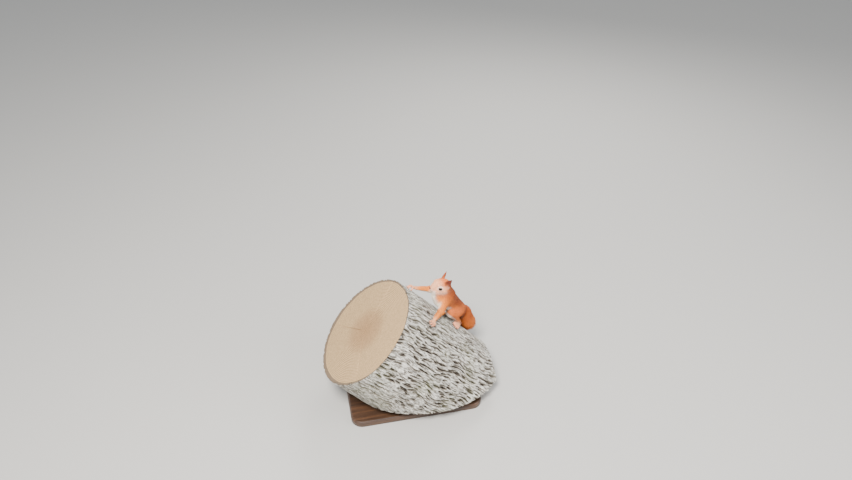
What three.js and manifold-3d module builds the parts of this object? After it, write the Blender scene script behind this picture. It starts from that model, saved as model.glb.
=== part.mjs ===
// A young red squirrel in its summer coat, life size, gripping a short cut length of a leaning tree
// trunk. The trunk section stands on a flat display base by two short rods. Millimetres, +Z up, and
// the origin is the middle of the underside of the base.
//
// The squirrel is laid out in the trunk's own terms: x runs up the trunk, y is the animal's left and
// z points out of the bark. Every solid of flesh is a round-ended loft: oval sections carried along
// a smooth path, out to the tips of the coat.

import * as THREE from 'three';
import { mergeVertices } from 'three/addons/utils/BufferGeometryUtils.js';
import Module from 'manifold-3d';

const wasm = await Module();
wasm.setup();

// ---------------------------------------------------------------- driving dimensions

const GAP = 0.3;                 // clear space left between neighbouring solids

const BASE_LENGTH = 300;         // flat display base
const BASE_WIDTH = 220;
const BASE_THICK = 14;
const BASE_CORNER = 26;
const BASE_EDGE = 2;

const ROD_RADIUS = 7;            // two short steel rods
const ROD_VISIBLE = 24;
const ROD_IN_WOOD = 22;
const ROD_IN_BASE = 7;
const ROD_SPACING = 150;

const TRUNK_LEAN = 48.5;         // the trunk's axis above level, degrees
const TRUNK_RADIUS = 135;        // at the middle of the squirrel's grip
const TRUNK_TAPER = 0.027;       // radius lost per millimetre up the trunk
const TRUNK_UPPER_CUT = 132;     // square saw cut, along the axis from the grip
const TRUNK_FOOT_DROP = 48;      // level saw cut, below the axis at the grip
const TRUNK_TOE_REACH = 203;     // upright saw cut that takes off the sharp toe
const TRUNK_AXIS_X = -12;        // the axis at the grip, from the middle of the base
const TRUNK_SWELL = 1.0;         // broad unevenness of the bark
const LOG_LENGTH = 520;          // the trunk's length before it is sawn
const SAW_REACH = 900;           // a saw cut takes everything this far beyond it

const BODY_AROUND = 12;          // the squirrel's frame, degrees round from the trunk's top line

const NOSE_TIP = [88.2, 13, 30.4];
const HEAD_TURN = 2;             // degrees to the animal's left of straight up the trunk
const HEAD_DROP = 38;            // degrees that the face is bent down from straight up the trunk
const HEAD_ROLL = -9;            // degrees about the face's own axis

const EYE_RADIUS = 4.2;
const EYE_BACK = 18.2;
const EYE_OUT = 12.4;
const EYE_UP = 7.4;

const EAR_FORWARD = 0.62;        // how far the ear's dish faces forward, and how far outward
const EAR_OUTWARD = 0.78;
const EAR_DISH = 2.6;            // depth of the dish
const EAR_WALL = 1.3;

const CLAW_RADIUS = 0.8;

const TAIL_WIDE = 23;            // half width and half depth of the full brush
const TAIL_DEEP = 21.5;

// ---------------------------------------------------------------- frames

const radians = THREE.MathUtils.degToRad;
const lean = radians(TRUNK_LEAN);
const trunkUp = new THREE.Vector3(-Math.cos(lean), 0, Math.sin(lean));
const trunkTop = new THREE.Vector3(Math.sin(lean), 0, Math.cos(lean));
const trunkFar = new THREE.Vector3(0, 1, 0);
const footLevel = BASE_THICK + ROD_VISIBLE;
const grip = new THREE.Vector3(TRUNK_AXIS_X, 0, footLevel + TRUNK_FOOT_DROP);

/** The bark's distance from the axis: the taper, with broad waves up and round the trunk. */
function trunkRadius(along, around) {
  const angle = radians(around);
  const waves = 0.6 * Math.sin(3 * angle + along / 70) + 0.4 * Math.sin(5 * angle - along / 45);
  return TRUNK_RADIUS - TRUNK_TAPER * along + TRUNK_SWELL * (waves - 1);
}

/** Direction out of the bark, a number of degrees round from the trunk's top line. */
function outward(around) {
  const angle = radians(around);
  return trunkTop.clone().multiplyScalar(Math.cos(angle)).addScaledVector(trunkFar, Math.sin(angle));
}

/** A point given by its way up the trunk, its angle round it and its height off the bark. */
function onBark(along, around, off) {
  return grip.clone().addScaledVector(trunkUp, along)
    .addScaledVector(outward(around), trunkRadius(along, around) + off);
}

const bodyOut = outward(BODY_AROUND);
const bodyLeft = new THREE.Vector3().crossVectors(bodyOut, trunkUp);
const bodyOrigin = grip.clone().addScaledVector(bodyOut, TRUNK_RADIUS);

/** A direction in the squirrel's frame: up the trunk, to its left, out of the bark. */
function heading(x, y, z) {
  return new THREE.Vector3().addScaledVector(trunkUp, x).addScaledVector(bodyLeft, y)
    .addScaledVector(bodyOut, z);
}

/** A point in the squirrel's frame. */
const place = (x, y, z) => heading(x, y, z).add(bodyOrigin);

// The face's own axes: forward out of the nose, up through the crown, and to its left.
const faceForward = heading(1, 0, 0).applyAxisAngle(bodyLeft, radians(HEAD_DROP))
  .applyAxisAngle(bodyOut, radians(HEAD_TURN));
const faceLeft = bodyLeft.clone().applyAxisAngle(bodyOut, radians(HEAD_TURN))
  .applyAxisAngle(faceForward, radians(HEAD_ROLL));
const faceUp = new THREE.Vector3().crossVectors(faceForward, faceLeft);
const noseTip = place(...NOSE_TIP);

/** A point on the head: how far behind the nose tip, out to one side and up. */
function onHead(back, side, up) {
  return noseTip.clone().addScaledVector(faceForward, -back).addScaledVector(faceLeft, side)
    .addScaledVector(faceUp, up);
}

// ---------------------------------------------------------------- shaping tools

/** A closed three.js geometry as a solid that can be joined and cut. */
function solid(geometry) {
  const bare = geometry.index ? geometry.clone() : geometry;
  bare.deleteAttribute('normal');
  bare.deleteAttribute('uv');
  const merged = mergeVertices(bare, 1e-4);
  const index = merged.index.array;
  const kept = [];
  for (let i = 0; i < index.length; i += 3) {
    const [a, b, c] = [index[i], index[i + 1], index[i + 2]];
    if (a !== b && b !== c && c !== a) kept.push(a, b, c);
  }
  return new wasm.Manifold(new wasm.Mesh({
    numProp: 3,
    vertProperties: new Float32Array(merged.attributes.position.array),
    triVerts: new Uint32Array(kept),
  }));
}

/** The largest body of a solid, so that a sliver left by a cut is dropped. */
function largest(shape) {
  return shape.decompose().reduce((best, piece) => (piece.volume() > best.volume() ? piece : best));
}

/**
 * A round-ended loft. Stations are { at, wide, deep }: a centre and the oval's two half sizes, the
 * wide one along `side`. `grow` swells it all round. The ends are domes, as long as the mean half
 * size there times `blunt`.
 */
function loft(stations, side, { sides = 16, rings = 8, grow = 0, blunt = 1, cap = 3 } = {}) {
  const path = new THREE.CatmullRomCurve3(stations.map((s) => s.at), false, 'centripetal');
  const sizes = new THREE.CatmullRomCurve3(
    stations.map((s) => new THREE.Vector3(s.wide + grow, s.deep + grow, 0)), false, 'catmullrom', 0.5);
  const geometry = new THREE.CapsuleGeometry(1, 2, cap, sides, rings);
  const position = geometry.attributes.position;
  const point = new THREE.Vector3();
  for (let i = 0; i < position.count; i += 1) {
    point.fromBufferAttribute(position, i);
    const level = THREE.MathUtils.clamp(point.y, -1, 1);
    const t = (level + 1) / 2;
    const centre = path.getPoint(t);
    const size = sizes.getPoint(t);
    const along = path.getTangent(t);
    const across = side.clone().addScaledVector(along, -side.dot(along)).normalize();
    const up = new THREE.Vector3().crossVectors(across, along);
    centre.addScaledVector(across, point.x * size.x).addScaledVector(up, point.z * size.y)
      .addScaledVector(along, (point.y - level) * blunt * (size.x + size.y) / 2);
    position.setXYZ(i, centre.x, centre.y, centre.z);
  }
  return solid(geometry);
}

/** A ball, stretched along three given axes. */
function ball(centre, axes, radii, sides = 14) {
  const geometry = new THREE.SphereGeometry(1, sides, Math.round(sides * 0.7));
  const basis = new THREE.Matrix4().makeBasis(
    axes[0].clone().multiplyScalar(radii[0]), axes[1].clone().multiplyScalar(radii[1]),
    axes[2].clone().multiplyScalar(radii[2])).setPosition(centre);
  geometry.applyMatrix4(basis);
  return solid(geometry);
}

/** A tapering round bar along a few points, from one radius to another. */
function taper(points, from, to, options = {}) {
  const last = points.length - 1;
  const stations = points.map((at, i) => {
    const radius = THREE.MathUtils.lerp(from, to, i / last);
    return { at, wide: radius, deep: radius };
  });
  return loft(stations, bodyLeft, options);
}

// ---------------------------------------------------------------- the finished model

const model = new THREE.Group();

/** Adds a solid to the model as a mesh with its own material. */
function add(name, shape, { color, roughness = 0.85, metalness = 0 }) {
  const mesh = shape.getMesh();
  const geometry = new THREE.BufferGeometry();
  geometry.setAttribute('position', new THREE.BufferAttribute(new Float32Array(mesh.vertProperties), 3));
  geometry.setIndex(new THREE.BufferAttribute(new Uint32Array(mesh.triVerts), 1));
  geometry.computeVertexNormals();
  const part = new THREE.Mesh(geometry, new THREE.MeshStandardMaterial({ color, roughness, metalness }));
  part.name = name;
  model.add(part);
}

const COAT = { color: 0xc06a3c, roughness: 0.9 };
const FACE = { color: 0xe0aa86, roughness: 0.9 };
const LIMB = { color: 0xd99660, roughness: 0.88 };
const BRUSH = { color: 0xc96a30, roughness: 0.9 };
const BARE_SKIN = { color: 0xb98276, roughness: 0.6 };
const EYE = { color: 0x0c0807, roughness: 0.05 };
const CLAW = { color: 0x2b211d, roughness: 0.4 };
const BARK = { color: 0x9c978c, roughness: 0.95 };
const STEEL = { color: 0x9a9ca0, roughness: 0.35, metalness: 1 };
const BASE = { color: 0x2f2a26, roughness: 0.5 };

// ---------------------------------------------------------------- stand and perch

/** The flat base: a rounded plate with a fine chamfer round its top and bottom edges. */
function basePlate() {
  const [x, y, r] = [BASE_LENGTH / 2 - BASE_EDGE, BASE_WIDTH / 2 - BASE_EDGE, BASE_CORNER];
  const outline = new THREE.Shape();
  outline.moveTo(-x + r, -y);
  outline.lineTo(x - r, -y);
  outline.absarc(x - r, -y + r, r, -Math.PI / 2, 0, false);
  outline.lineTo(x, y - r);
  outline.absarc(x - r, y - r, r, 0, Math.PI / 2, false);
  outline.lineTo(-x + r, y);
  outline.absarc(-x + r, y - r, r, Math.PI / 2, Math.PI, false);
  outline.lineTo(-x, -y + r);
  outline.absarc(-x + r, -y + r, r, Math.PI, Math.PI * 1.5, false);
  const geometry = new THREE.ExtrudeGeometry(outline, {
    depth: BASE_THICK - 2 * BASE_EDGE, bevelThickness: BASE_EDGE, bevelSize: BASE_EDGE,
    bevelSegments: 1, curveSegments: 3,
  });
  geometry.translate(0, 0, BASE_EDGE);
  return solid(geometry);
}

/** One upright rod, or the hole it stands in when it is grown. */
function rod(x, grow = 0) {
  const low = BASE_THICK - ROD_IN_BASE - grow;
  const high = footLevel + ROD_IN_WOOD + grow;
  const geometry = new THREE.CylinderGeometry(ROD_RADIUS + grow, ROD_RADIUS + grow, high - low, 20);
  geometry.rotateX(Math.PI / 2);
  geometry.translate(x, 0, (low + high) / 2);
  return solid(geometry);
}

/** The round trunk with its taper and broad swellings, before it is sawn to length. */
function trunkRound(grow = 0) {
  const geometry = new THREE.CylinderGeometry(1, 1, LOG_LENGTH, 32, 7);
  const position = geometry.attributes.position;
  const point = new THREE.Vector3();
  for (let i = 0; i < position.count; i += 1) {
    point.fromBufferAttribute(position, i);
    const onAxis = Math.hypot(point.x, point.z) < 0.5;
    const around = THREE.MathUtils.radToDeg(Math.atan2(point.x, point.z));
    const at = onAxis ? grip.clone().addScaledVector(trunkUp, point.y)
      : onBark(point.y, around, grow);
    position.setXYZ(i, at.x, at.y, at.z);
  }
  return solid(geometry);
}

/** A box that takes away everything on the far side of a flat saw cut. */
function sawn(point, normal) {
  const geometry = new THREE.BoxGeometry(SAW_REACH, SAW_REACH, SAW_REACH);
  geometry.translate(0, 0, SAW_REACH / 2);
  const turn = new THREE.Quaternion().setFromUnitVectors(new THREE.Vector3(0, 0, 1), normal);
  geometry.applyQuaternion(turn);
  geometry.translate(point.x, point.y, point.z);
  return solid(geometry);
}

const rodPlaces = { front: -ROD_SPACING / 2, rear: ROD_SPACING / 2 };
const bark = trunkRound(GAP);

let base = basePlate();
let perch = trunkRound()
  .subtract(sawn(new THREE.Vector3(0, 0, footLevel), new THREE.Vector3(0, 0, -1)))
  .subtract(sawn(grip.clone().addScaledVector(trunkUp, TRUNK_UPPER_CUT), trunkUp))
  .subtract(sawn(new THREE.Vector3(grip.x + TRUNK_TOE_REACH, 0, 0), new THREE.Vector3(1, 0, 0)));
for (const x of Object.values(rodPlaces)) {
  base = base.subtract(rod(x, GAP));
  perch = perch.subtract(rod(x, GAP));
}
add('stand_base', base, BASE);
for (const [end, x] of Object.entries(rodPlaces)) add(`stand_rod_${end}`, rod(x), STEEL);
add('perch_trunk_section', perch, BARK);

// ---------------------------------------------------------------- head

// Behind the nose tip: the height of the crown line and of the jaw line, and the half width.
const headStations = [
  [1.6, 4.4, -4.6, 4.6], [4.5, 8.2, -7.4, 7.6], [9, 12.8, -9.4, 10.6], [15, 17.4, -11, 14.2],
  [22, 20.6, -12.6, 17.2], [29, 22, -12.8, 18.2], [36, 20.4, -11, 16.2], [40.5, 16.5, -7.5, 12.5],
].map(([back, crown, jaw, wide]) => (
  { at: onHead(back, 0, (crown + jaw) / 2), wide, deep: (crown - jaw) / 2 }));

const headLoft = (grow) => (
  loft(headStations, faceLeft, { sides: 22, rings: 9, cap: 2, grow, blunt: 0.6 }));

const sideNames = { left: 1, right: -1 };
const eyeAt = (hand) => onHead(EYE_BACK, hand * EYE_OUT, EYE_UP);
const faceAxes = [faceForward, faceLeft, faceUp];
const eyeball = (hand, grow) => ball(eyeAt(hand), faceAxes, Array(3).fill(EYE_RADIUS + grow), 12);
const nosePad = (grow) => ball(onHead(0.6, 0, 0.4), faceAxes, [1.8 + grow, 2.8 + grow, 2.2 + grow], 10);

/** An ear: a pointed leaf, hollowed from the front, leaning out and back from the crown. */
function ear(hand, grow = 0) {
  const facing = faceForward.clone().multiplyScalar(EAR_FORWARD)
    .addScaledVector(faceLeft, EAR_OUTWARD * hand).normalize();
  const leaf = (forward, slim, tip) => [
    [31.5, 10.5, 13, 5.2, 3.4], [33, 12.4, 18.5, 6.6, 3.6], [35.4, 14, 24, 4.8, 2.4],
    [38, 15.2, 28.5 + tip, 1.6, 1.1],
  ].map(([back, out, up, wide, deep]) => ({
    at: onHead(back, hand * out, up).addScaledVector(facing, forward),
    wide: wide - slim, deep: Math.max(deep - slim * 0.4, 0.4),
  }));
  const edge = new THREE.Vector3().crossVectors(faceUp, facing).normalize();
  const whole = loft(leaf(0, 0, 0), edge, { sides: 12, rings: 5, cap: 1, grow });
  if (grow > 0) return whole;
  const hollow = loft(leaf(EAR_DISH, EAR_WALL, -EAR_DISH), edge, { sides: 10, rings: 5, cap: 1 });
  return whole.subtract(hollow);
}

// ---------------------------------------------------------------- neck and trunk of the body

const neckStations = [
  { at: place(41, 11.5, 34.5), wide: 18.5, deep: 25 },
  { at: place(57.5, 13.4, 38.5), wide: 15.5, deep: 25 },
  { at: place(69, 14.2, 45.5), wide: 12, deep: 19 },
];
const neckLoft = (grow) => (
  loft(neckStations, bodyLeft, { sides: 18, rings: 4, cap: 2, grow, blunt: 0.5 }));

const spineStations = [
  { at: place(45, 12, 34.5), wide: 18.5, deep: 25 },
  { at: place(34, 8.5, 34), wide: 18.5, deep: 24.5 },
  { at: place(14, 1, 33), wide: 18, deep: 21 },
  { at: place(-8, -7.5, 30.5), wide: 21, deep: 19.5 },
  { at: place(-24, -13.5, 29), wide: 21.5, deep: 18.5 },
  { at: place(-35, -17.8, 28.5), wide: 14.5, deep: 13.5 },
];
const spineLoft = (grow) => (
  loft(spineStations, bodyLeft, { sides: 20, rings: 9, cap: 2, grow, blunt: 0.75 }));

// ---------------------------------------------------------------- limbs

/**
 * A digit and its claw: a slim bar that arches from the paw and comes down on the bark, `turn`
 * degrees to the left of `ahead`. The claw hooks on from just past the toe's end.
 */
function digit(root, ahead, turn, length, radius, clawLength) {
  const up = outwardAt(root);
  const way = ahead.clone().addScaledVector(up, -ahead.dot(up)).normalize()
    .applyAxisAngle(up, radians(turn));
  const step = (distance, off) => {
    const polar = toBark(root.clone().addScaledVector(way, distance));
    return onBark(polar.along, polar.around, off);
  };
  const knuckle = root.clone().addScaledVector(way, length * 0.5).addScaledVector(up, radius * 0.5);
  const flesh = taper([root, knuckle, step(length, radius - 0.2)], radius * 1.1, radius,
    { sides: 6, rings: 2, cap: 1 });
  const start = length + radius + GAP + CLAW_RADIUS;
  const claw = taper([step(start, radius * 0.9), step(start + clawLength * 0.5, radius),
    step(start + clawLength, CLAW_RADIUS + 0.4)], CLAW_RADIUS, CLAW_RADIUS * 0.45,
  { sides: 5, rings: 2, cap: 1 });
  return { flesh, claw };
}

/** Where a point lies in the trunk's terms. */
function toBark(point) {
  const from = point.clone().sub(grip);
  const along = from.dot(trunkUp);
  const around = THREE.MathUtils.radToDeg(Math.atan2(from.dot(trunkFar), from.dot(trunkTop)));
  const off = from.addScaledVector(trunkUp, -along).length() - trunkRadius(along, around);
  return { along, around, off };
}

const outwardAt = (point) => outward(toBark(point).around);

/** A paw or foot: a flat sole from the wrist or heel to the knuckles, with its fan of digits. */
function paw({ heel, knuckles, wide, thick, turns, lengths, digitRadius, claw }) {
  const up = outwardAt(knuckles);
  const ahead = knuckles.clone().sub(heel).normalize();
  const across = new THREE.Vector3().crossVectors(up, ahead).normalize();
  const stations = [
    { at: heel, wide: wide * 0.72, deep: thick * 1.15 },
    { at: heel.clone().lerp(knuckles, 0.55), wide: wide * 0.86, deep: thick },
    { at: knuckles, wide, deep: thick * 0.86 },
  ];
  const sole = (grow) => loft(stations, across, { sides: 10, rings: 3, cap: 2, blunt: 0.6, grow });
  let flesh = sole(0);
  const claws = [];
  turns.forEach((turn, i) => {
    const spread = 1 - (2 * i) / (turns.length - 1);
    const root = knuckles.clone().addScaledVector(across, spread * (wide - digitRadius) * 0.95)
      .addScaledVector(ahead, -Math.abs(spread) * wide * 0.35);
    const toe = digit(root, ahead, turn, lengths[i], digitRadius, claw);
    flesh = flesh.add(toe.flesh);
    claws.push(toe.claw);
  });
  return { flesh, claws, grown: sole(GAP) };
}

const limbs = {
  left: {
    shoulder: place(42, 21, 30), elbow: place(38, 34, 6.5), wrist: place(56.5, 59, -8.5),
    palm: place(60, 68.5, -15.5), hip: place(-26, -7, 29.5), knee: place(-1, 12, 16),
    ankle: place(-38, 8, 10), heel: place(-46, 7, 8), ball: place(-31, 21, 3.5),
  },
  right: {
    shoulder: place(50, -4, 33), elbow: place(65, -19, 23), wrist: place(94.5, -18, 6.5),
    palm: place(103.5, -19.5, 3), hip: place(-30, -23, 28.5), knee: place(-5, -38.5, 15.5),
    ankle: place(-46, -42, 6.5), heel: place(-54, -43.5, 3), ball: place(-37.5, -55, -7),
  },
};
const ARM_SIZES = { left: [12.5, 9.8, 8.2, 6.8, 5.2], right: [10.5, 8.8, 7.4, 6, 4.2] };

/** The lofts of one side's limbs, each as a function of how far it is grown. */
function limbLofts(side) {
  const { shoulder, elbow, wrist, hip, knee, ankle } = limbs[side];
  const arm = ARM_SIZES[side];
  const round = (at, size, flat = 1) => ({ at, wide: size * flat, deep: size });
  const halfway = (p, q) => p.clone().lerp(q, 0.5);
  const bar = (stations, sides, rings) => (grow) => (
    loft(stations, bodyLeft, { sides, rings, cap: 2, grow, blunt: 0.8 }));
  return {
    upperArm: bar([round(shoulder, arm[0]), round(halfway(shoulder, elbow), arm[1]),
      round(elbow, arm[2])], 14, 3),
    forearm: bar([round(elbow, arm[2] - 0.6), round(halfway(elbow, wrist), arm[3]),
      round(wrist, arm[4])], 12, 3),
    thigh: bar([round(hip, 18.5, 0.9), round(halfway(hip, knee), 19, 0.9), round(knee, 12.5, 0.95)],
      16, 4),
    shank: bar([round(knee, 9.5), round(halfway(knee, ankle), 7.5), round(ankle, 5.2)], 12, 3),
  };
}

// ---------------------------------------------------------------- tail

// The tail leaves the rump, runs down the trunk and drapes over its far side.
const tailPath = [
  place(-34, -17.5, 31), place(-47, -21, 32), onBark(-65, 21, 26), onBark(-82, 23.5, 20.5),
  onBark(-98, 29, 18), onBark(-109, 38, 17), onBark(-114, 47, 16),
];
const tailFullness = [0.6, 0.8, 0.94, 1, 1, 0.86, 0.45];
const tailStations = tailPath.map((at, i) => (
  { at, wide: TAIL_WIDE * tailFullness[i], deep: TAIL_DEEP * tailFullness[i] }));
const tailSide = trunkFar.clone().addScaledVector(trunkUp, 1.0).normalize();
const tailLoft = (grow) => (
  loft(tailStations, tailSide, { sides: 14, rings: 10, cap: 2, grow, blunt: 0.9 }));

// ---------------------------------------------------------------- parting the animal

const whole = { head: headLoft(GAP), neck: neckLoft(GAP), trunk: spineLoft(GAP) };

let head = headLoft(0).subtract(nosePad(GAP));
const ears = {};
for (const [side, hand] of Object.entries(sideNames)) {
  head = head.subtract(eyeball(hand, GAP));
  ears[side] = largest(ear(hand).subtract(whole.head));
}
add('head', largest(head.subtract(bark)), FACE);
add('nose', nosePad(0), BARE_SKIN);
for (const [side, hand] of Object.entries(sideNames)) {
  add(`eye_${side}`, eyeball(hand, 0), EYE);
  add(`ear_${side}`, ears[side], COAT);
}

add('neck', largest(neckLoft(0).subtract(whole.head)), COAT);
add('trunk', largest(spineLoft(0).subtract(whole.head).subtract(whole.neck)), COAT);

const body = whole.head.add(whole.neck).add(whole.trunk);
const FORE = {
  wide: 5.4, thick: 3.5, turns: [44, 15, -14, -42], lengths: [5, 7.2, 7.2, 5.5], digitRadius: 1.65,
  claw: 2.3,
};
const REACH = {
  wide: 6, thick: 3.6, turns: [66, 22, -18, -58], lengths: [6.4, 8.8, 9, 7], digitRadius: 1.75,
  claw: 2.6,
};
const HIND = {
  wide: 6.2, thick: 3.8, turns: [32, 14, 2, -11, -30], lengths: [7, 10, 10.5, 10, 7],
  digitRadius: 1.8, claw: 3,
};
const digitNames = {
  fore: ['inner', 'second', 'third', 'outer'],
  hind: ['first', 'second', 'third', 'fourth', 'fifth'],
};
let haunches = null;
for (const side of Object.keys(sideNames)) {
  const l = limbs[side];
  const parts = limbLofts(side);
  const fore = paw({ heel: l.wrist, knuckles: l.palm, ...(side === 'left' ? FORE : REACH) });
  const hind = paw({ heel: l.heel, knuckles: l.ball, ...HIND });

  const upperArm = largest(parts.upperArm(0).subtract(body));
  const forearm = largest(parts.forearm(0).subtract(body).subtract(parts.upperArm(GAP)).subtract(bark));
  const forepaw = largest(fore.flesh.subtract(parts.forearm(GAP)).subtract(bark));
  add(`upper_arm_${side}`, upperArm, LIMB);
  add(`forearm_${side}`, forearm, LIMB);
  add(`forepaw_${side}`, forepaw, LIMB);

  const thigh = largest(parts.thigh(0).subtract(body).subtract(bark));
  const shank = largest(parts.shank(0).subtract(body).subtract(parts.thigh(GAP)).subtract(bark));
  const foot = largest(hind.flesh.subtract(parts.shank(GAP)).subtract(parts.thigh(GAP)).subtract(bark));
  add(`thigh_${side}`, thigh, COAT);
  add(`shank_${side}`, shank, LIMB);
  add(`hind_foot_${side}`, foot, LIMB);
  haunches = haunches ? haunches.add(parts.thigh(GAP)) : parts.thigh(GAP);
  haunches = haunches.add(parts.shank(GAP)).add(hind.grown);

  fore.claws.forEach((claw, i) => {
    add(`claw_fore_${side}_${digitNames.fore[i]}`, claw, CLAW);
  });
  hind.claws.forEach((claw, i) => {
    add(`claw_hind_${side}_${digitNames.hind[i]}`, claw, CLAW);
  });
}

/** One length of the tail, between two places along its path. */
function tailLength(from, to) {
  const path = new THREE.CatmullRomCurve3(tailPath, false, 'centripetal');
  let shape = tailLoft(0);
  if (from > 0) shape = shape.subtract(sawnNear(path, from, -1));
  if (to < 1) shape = shape.subtract(sawnNear(path, to, 1));
  return shape;
}

/** A saw box at one point of the tail's path, clear of the cut by half the gap. */
function sawnNear(path, t, way) {
  const normal = path.getTangent(t).multiplyScalar(way);
  return sawn(path.getPoint(t).addScaledVector(normal, -GAP / 2), normal);
}

const tailCuts = [0, 0.4, 0.7, 1];
['root', 'middle', 'tip'].forEach((name, i) => {
  const length = tailLength(tailCuts[i], tailCuts[i + 1]);
  add(`tail_${name}`, largest(length.subtract(body).subtract(haunches).subtract(bark)), BRUSH);
});

export default model;
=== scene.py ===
"""A young red squirrel, life size, gripping a cut length of leaning tree trunk on a display base.

All shapes are worked out in millimetres in the squirrel's own terms and are put into the shared
frame at the end: x runs up the trunk, y to the animal's left and z out of the bark. The zero point
lies on the bark under the animal. A "loft" is a row of oval sections carried along a smooth path.
"""
import logging
import math
from dataclasses import dataclass, field
from enum import Enum
from typing import Callable

import bmesh
import bpy
import numpy as np
from bpy.types import Material, Mesh, Node, NodeSocket, Object
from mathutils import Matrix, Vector


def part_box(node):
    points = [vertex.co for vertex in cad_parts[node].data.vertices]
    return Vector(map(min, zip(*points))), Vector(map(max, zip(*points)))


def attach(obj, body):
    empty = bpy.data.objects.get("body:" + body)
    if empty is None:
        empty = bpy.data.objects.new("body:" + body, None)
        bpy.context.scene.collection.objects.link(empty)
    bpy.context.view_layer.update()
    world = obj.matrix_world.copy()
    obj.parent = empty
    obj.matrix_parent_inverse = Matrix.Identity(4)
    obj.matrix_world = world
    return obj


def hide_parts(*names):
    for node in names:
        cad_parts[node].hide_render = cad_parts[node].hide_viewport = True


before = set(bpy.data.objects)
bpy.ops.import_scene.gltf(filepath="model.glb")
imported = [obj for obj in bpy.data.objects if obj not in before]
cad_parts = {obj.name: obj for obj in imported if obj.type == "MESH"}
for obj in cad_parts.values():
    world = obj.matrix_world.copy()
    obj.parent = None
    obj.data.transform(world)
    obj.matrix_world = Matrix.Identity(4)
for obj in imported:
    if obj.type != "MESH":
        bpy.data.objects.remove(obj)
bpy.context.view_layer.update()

log = logging.getLogger("squirrel")
Array = np.ndarray
Pair = tuple[float, float]
Triple = tuple[float, float, float]
Shape = tuple[Array, list[Array]]
Window = tuple[slice, slice, slice]
Table = tuple[tuple[float, ...], ...]
Swelling = tuple[Triple, Triple, float]
Lamp = tuple[str, Triple, float, float, Triple]
MM = 0.001
FAR = 1e6
OUTSIDE = 50.0


# ------------------------------------------------------------------ small tools

def unit(v: Array) -> Array:
    """Vectors scaled to length one, along the last axis."""
    return v / np.maximum(np.linalg.norm(v, axis=-1, keepdims=True), 1e-9)


def ease(low: float, high: float, x: Array) -> Array:
    """A soft step: 0 below low, 1 above high, smooth between."""
    t = np.clip((x - low) / (high - low), 0.0, 1.0)
    return t * t * (3.0 - 2.0 * t)


def turned(v: Array, axis: Array, degrees: float) -> Array:
    """A vector turned about an axis by the right-hand rule."""
    c, s = math.cos(math.radians(degrees)), math.sin(math.radians(degrees))
    return v * c + np.cross(axis, v) * s + axis * float(axis @ v) * (1 - c)


def srgb(red: float, green: float, blue: float) -> Array:
    """A display colour, 0 to 255 each, as linear light."""
    c = np.array([red, green, blue], float) / 255.0
    return np.where(c <= 0.04045, c / 12.92, ((c + 0.055) / 1.055) ** 2.4)


def spline(points: Array, count: int, power: float = 0.5) -> Array:
    """A smooth curve through points, evenly spaced in its parameter.

    Each span is a cubic whose end slopes come from the neighbouring points, weighted by their
    distances to the given power. Beyond each end the line goes on straight.

    Args:
        points: The points, or rows of sizes, to pass through.
        count: How many samples to return.
        power: 0.5 weights by the root of the distance, 0 treats all spans alike.

    Returns:
        The samples, one per row.
    """
    p = np.vstack([2 * points[0] - points[1], points, 2 * points[-1] - points[-2]])
    at = np.linspace(0, len(points) - 1, count)
    i = np.minimum(at.astype(int), len(points) - 2)
    w = (at - i)[:, None]
    x0, x1, x2, x3 = p[i], p[i + 1], p[i + 2], p[i + 3]
    if power > 0:
        d0, d1, d2 = (np.maximum(np.linalg.norm(b - a, axis=1, keepdims=True), 1e-6) ** power
                      for a, b in ((x0, x1), (x1, x2), (x2, x3)))
        m1 = ((x1 - x0) / d0 - (x2 - x0) / (d0 + d1) + (x2 - x1) / d1) * d1
        m2 = ((x2 - x1) / d1 - (x3 - x1) / (d1 + d2) + (x3 - x2) / d2) * d1
    else:
        m1, m2 = 0.5 * (x2 - x0), 0.5 * (x3 - x1)
    return (x1 + m1 * w + (-3 * x1 + 3 * x2 - 2 * m1 - m2) * w ** 2
            + (2 * x1 - 2 * x2 + m1 + m2) * w ** 3)


@dataclass(frozen=True)
class Ripple:
    """Smooth random unevenness: a sum of plane waves in seeded directions.

    Args:
        seed: Picks the directions and phases.
        wave: Mean wavelength in millimetres.
        waves: How many plane waves are summed.
        spread: Least and most that a wave's length departs from the mean, as factors.
        crest: Divides the sum, so that few crests pass 1.
    """

    seed: int
    wave: float
    waves: int = 14
    spread: Pair = (0.6, 1.6)
    crest: float = 1.6

    def at(self, points: Array) -> Array:
        """The unevenness, about -1 to 1, at each point.

        Args:
            points: Places, one per row.

        Returns:
            The unevenness.
        """
        rng = np.random.default_rng(self.seed)
        k = unit(rng.normal(size=(self.waves, 3))) * (2 * np.pi / self.wave)
        k *= rng.uniform(*self.spread, (self.waves, 1))
        phase = rng.uniform(0, 2 * np.pi, self.waves)
        total = np.zeros(len(points))
        for row, shift in zip(k, phase):
            total += np.sin(points @ row + shift)
        return total / math.sqrt(self.waves / 2) / self.crest


# ------------------------------------------------------------------ frames

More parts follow.
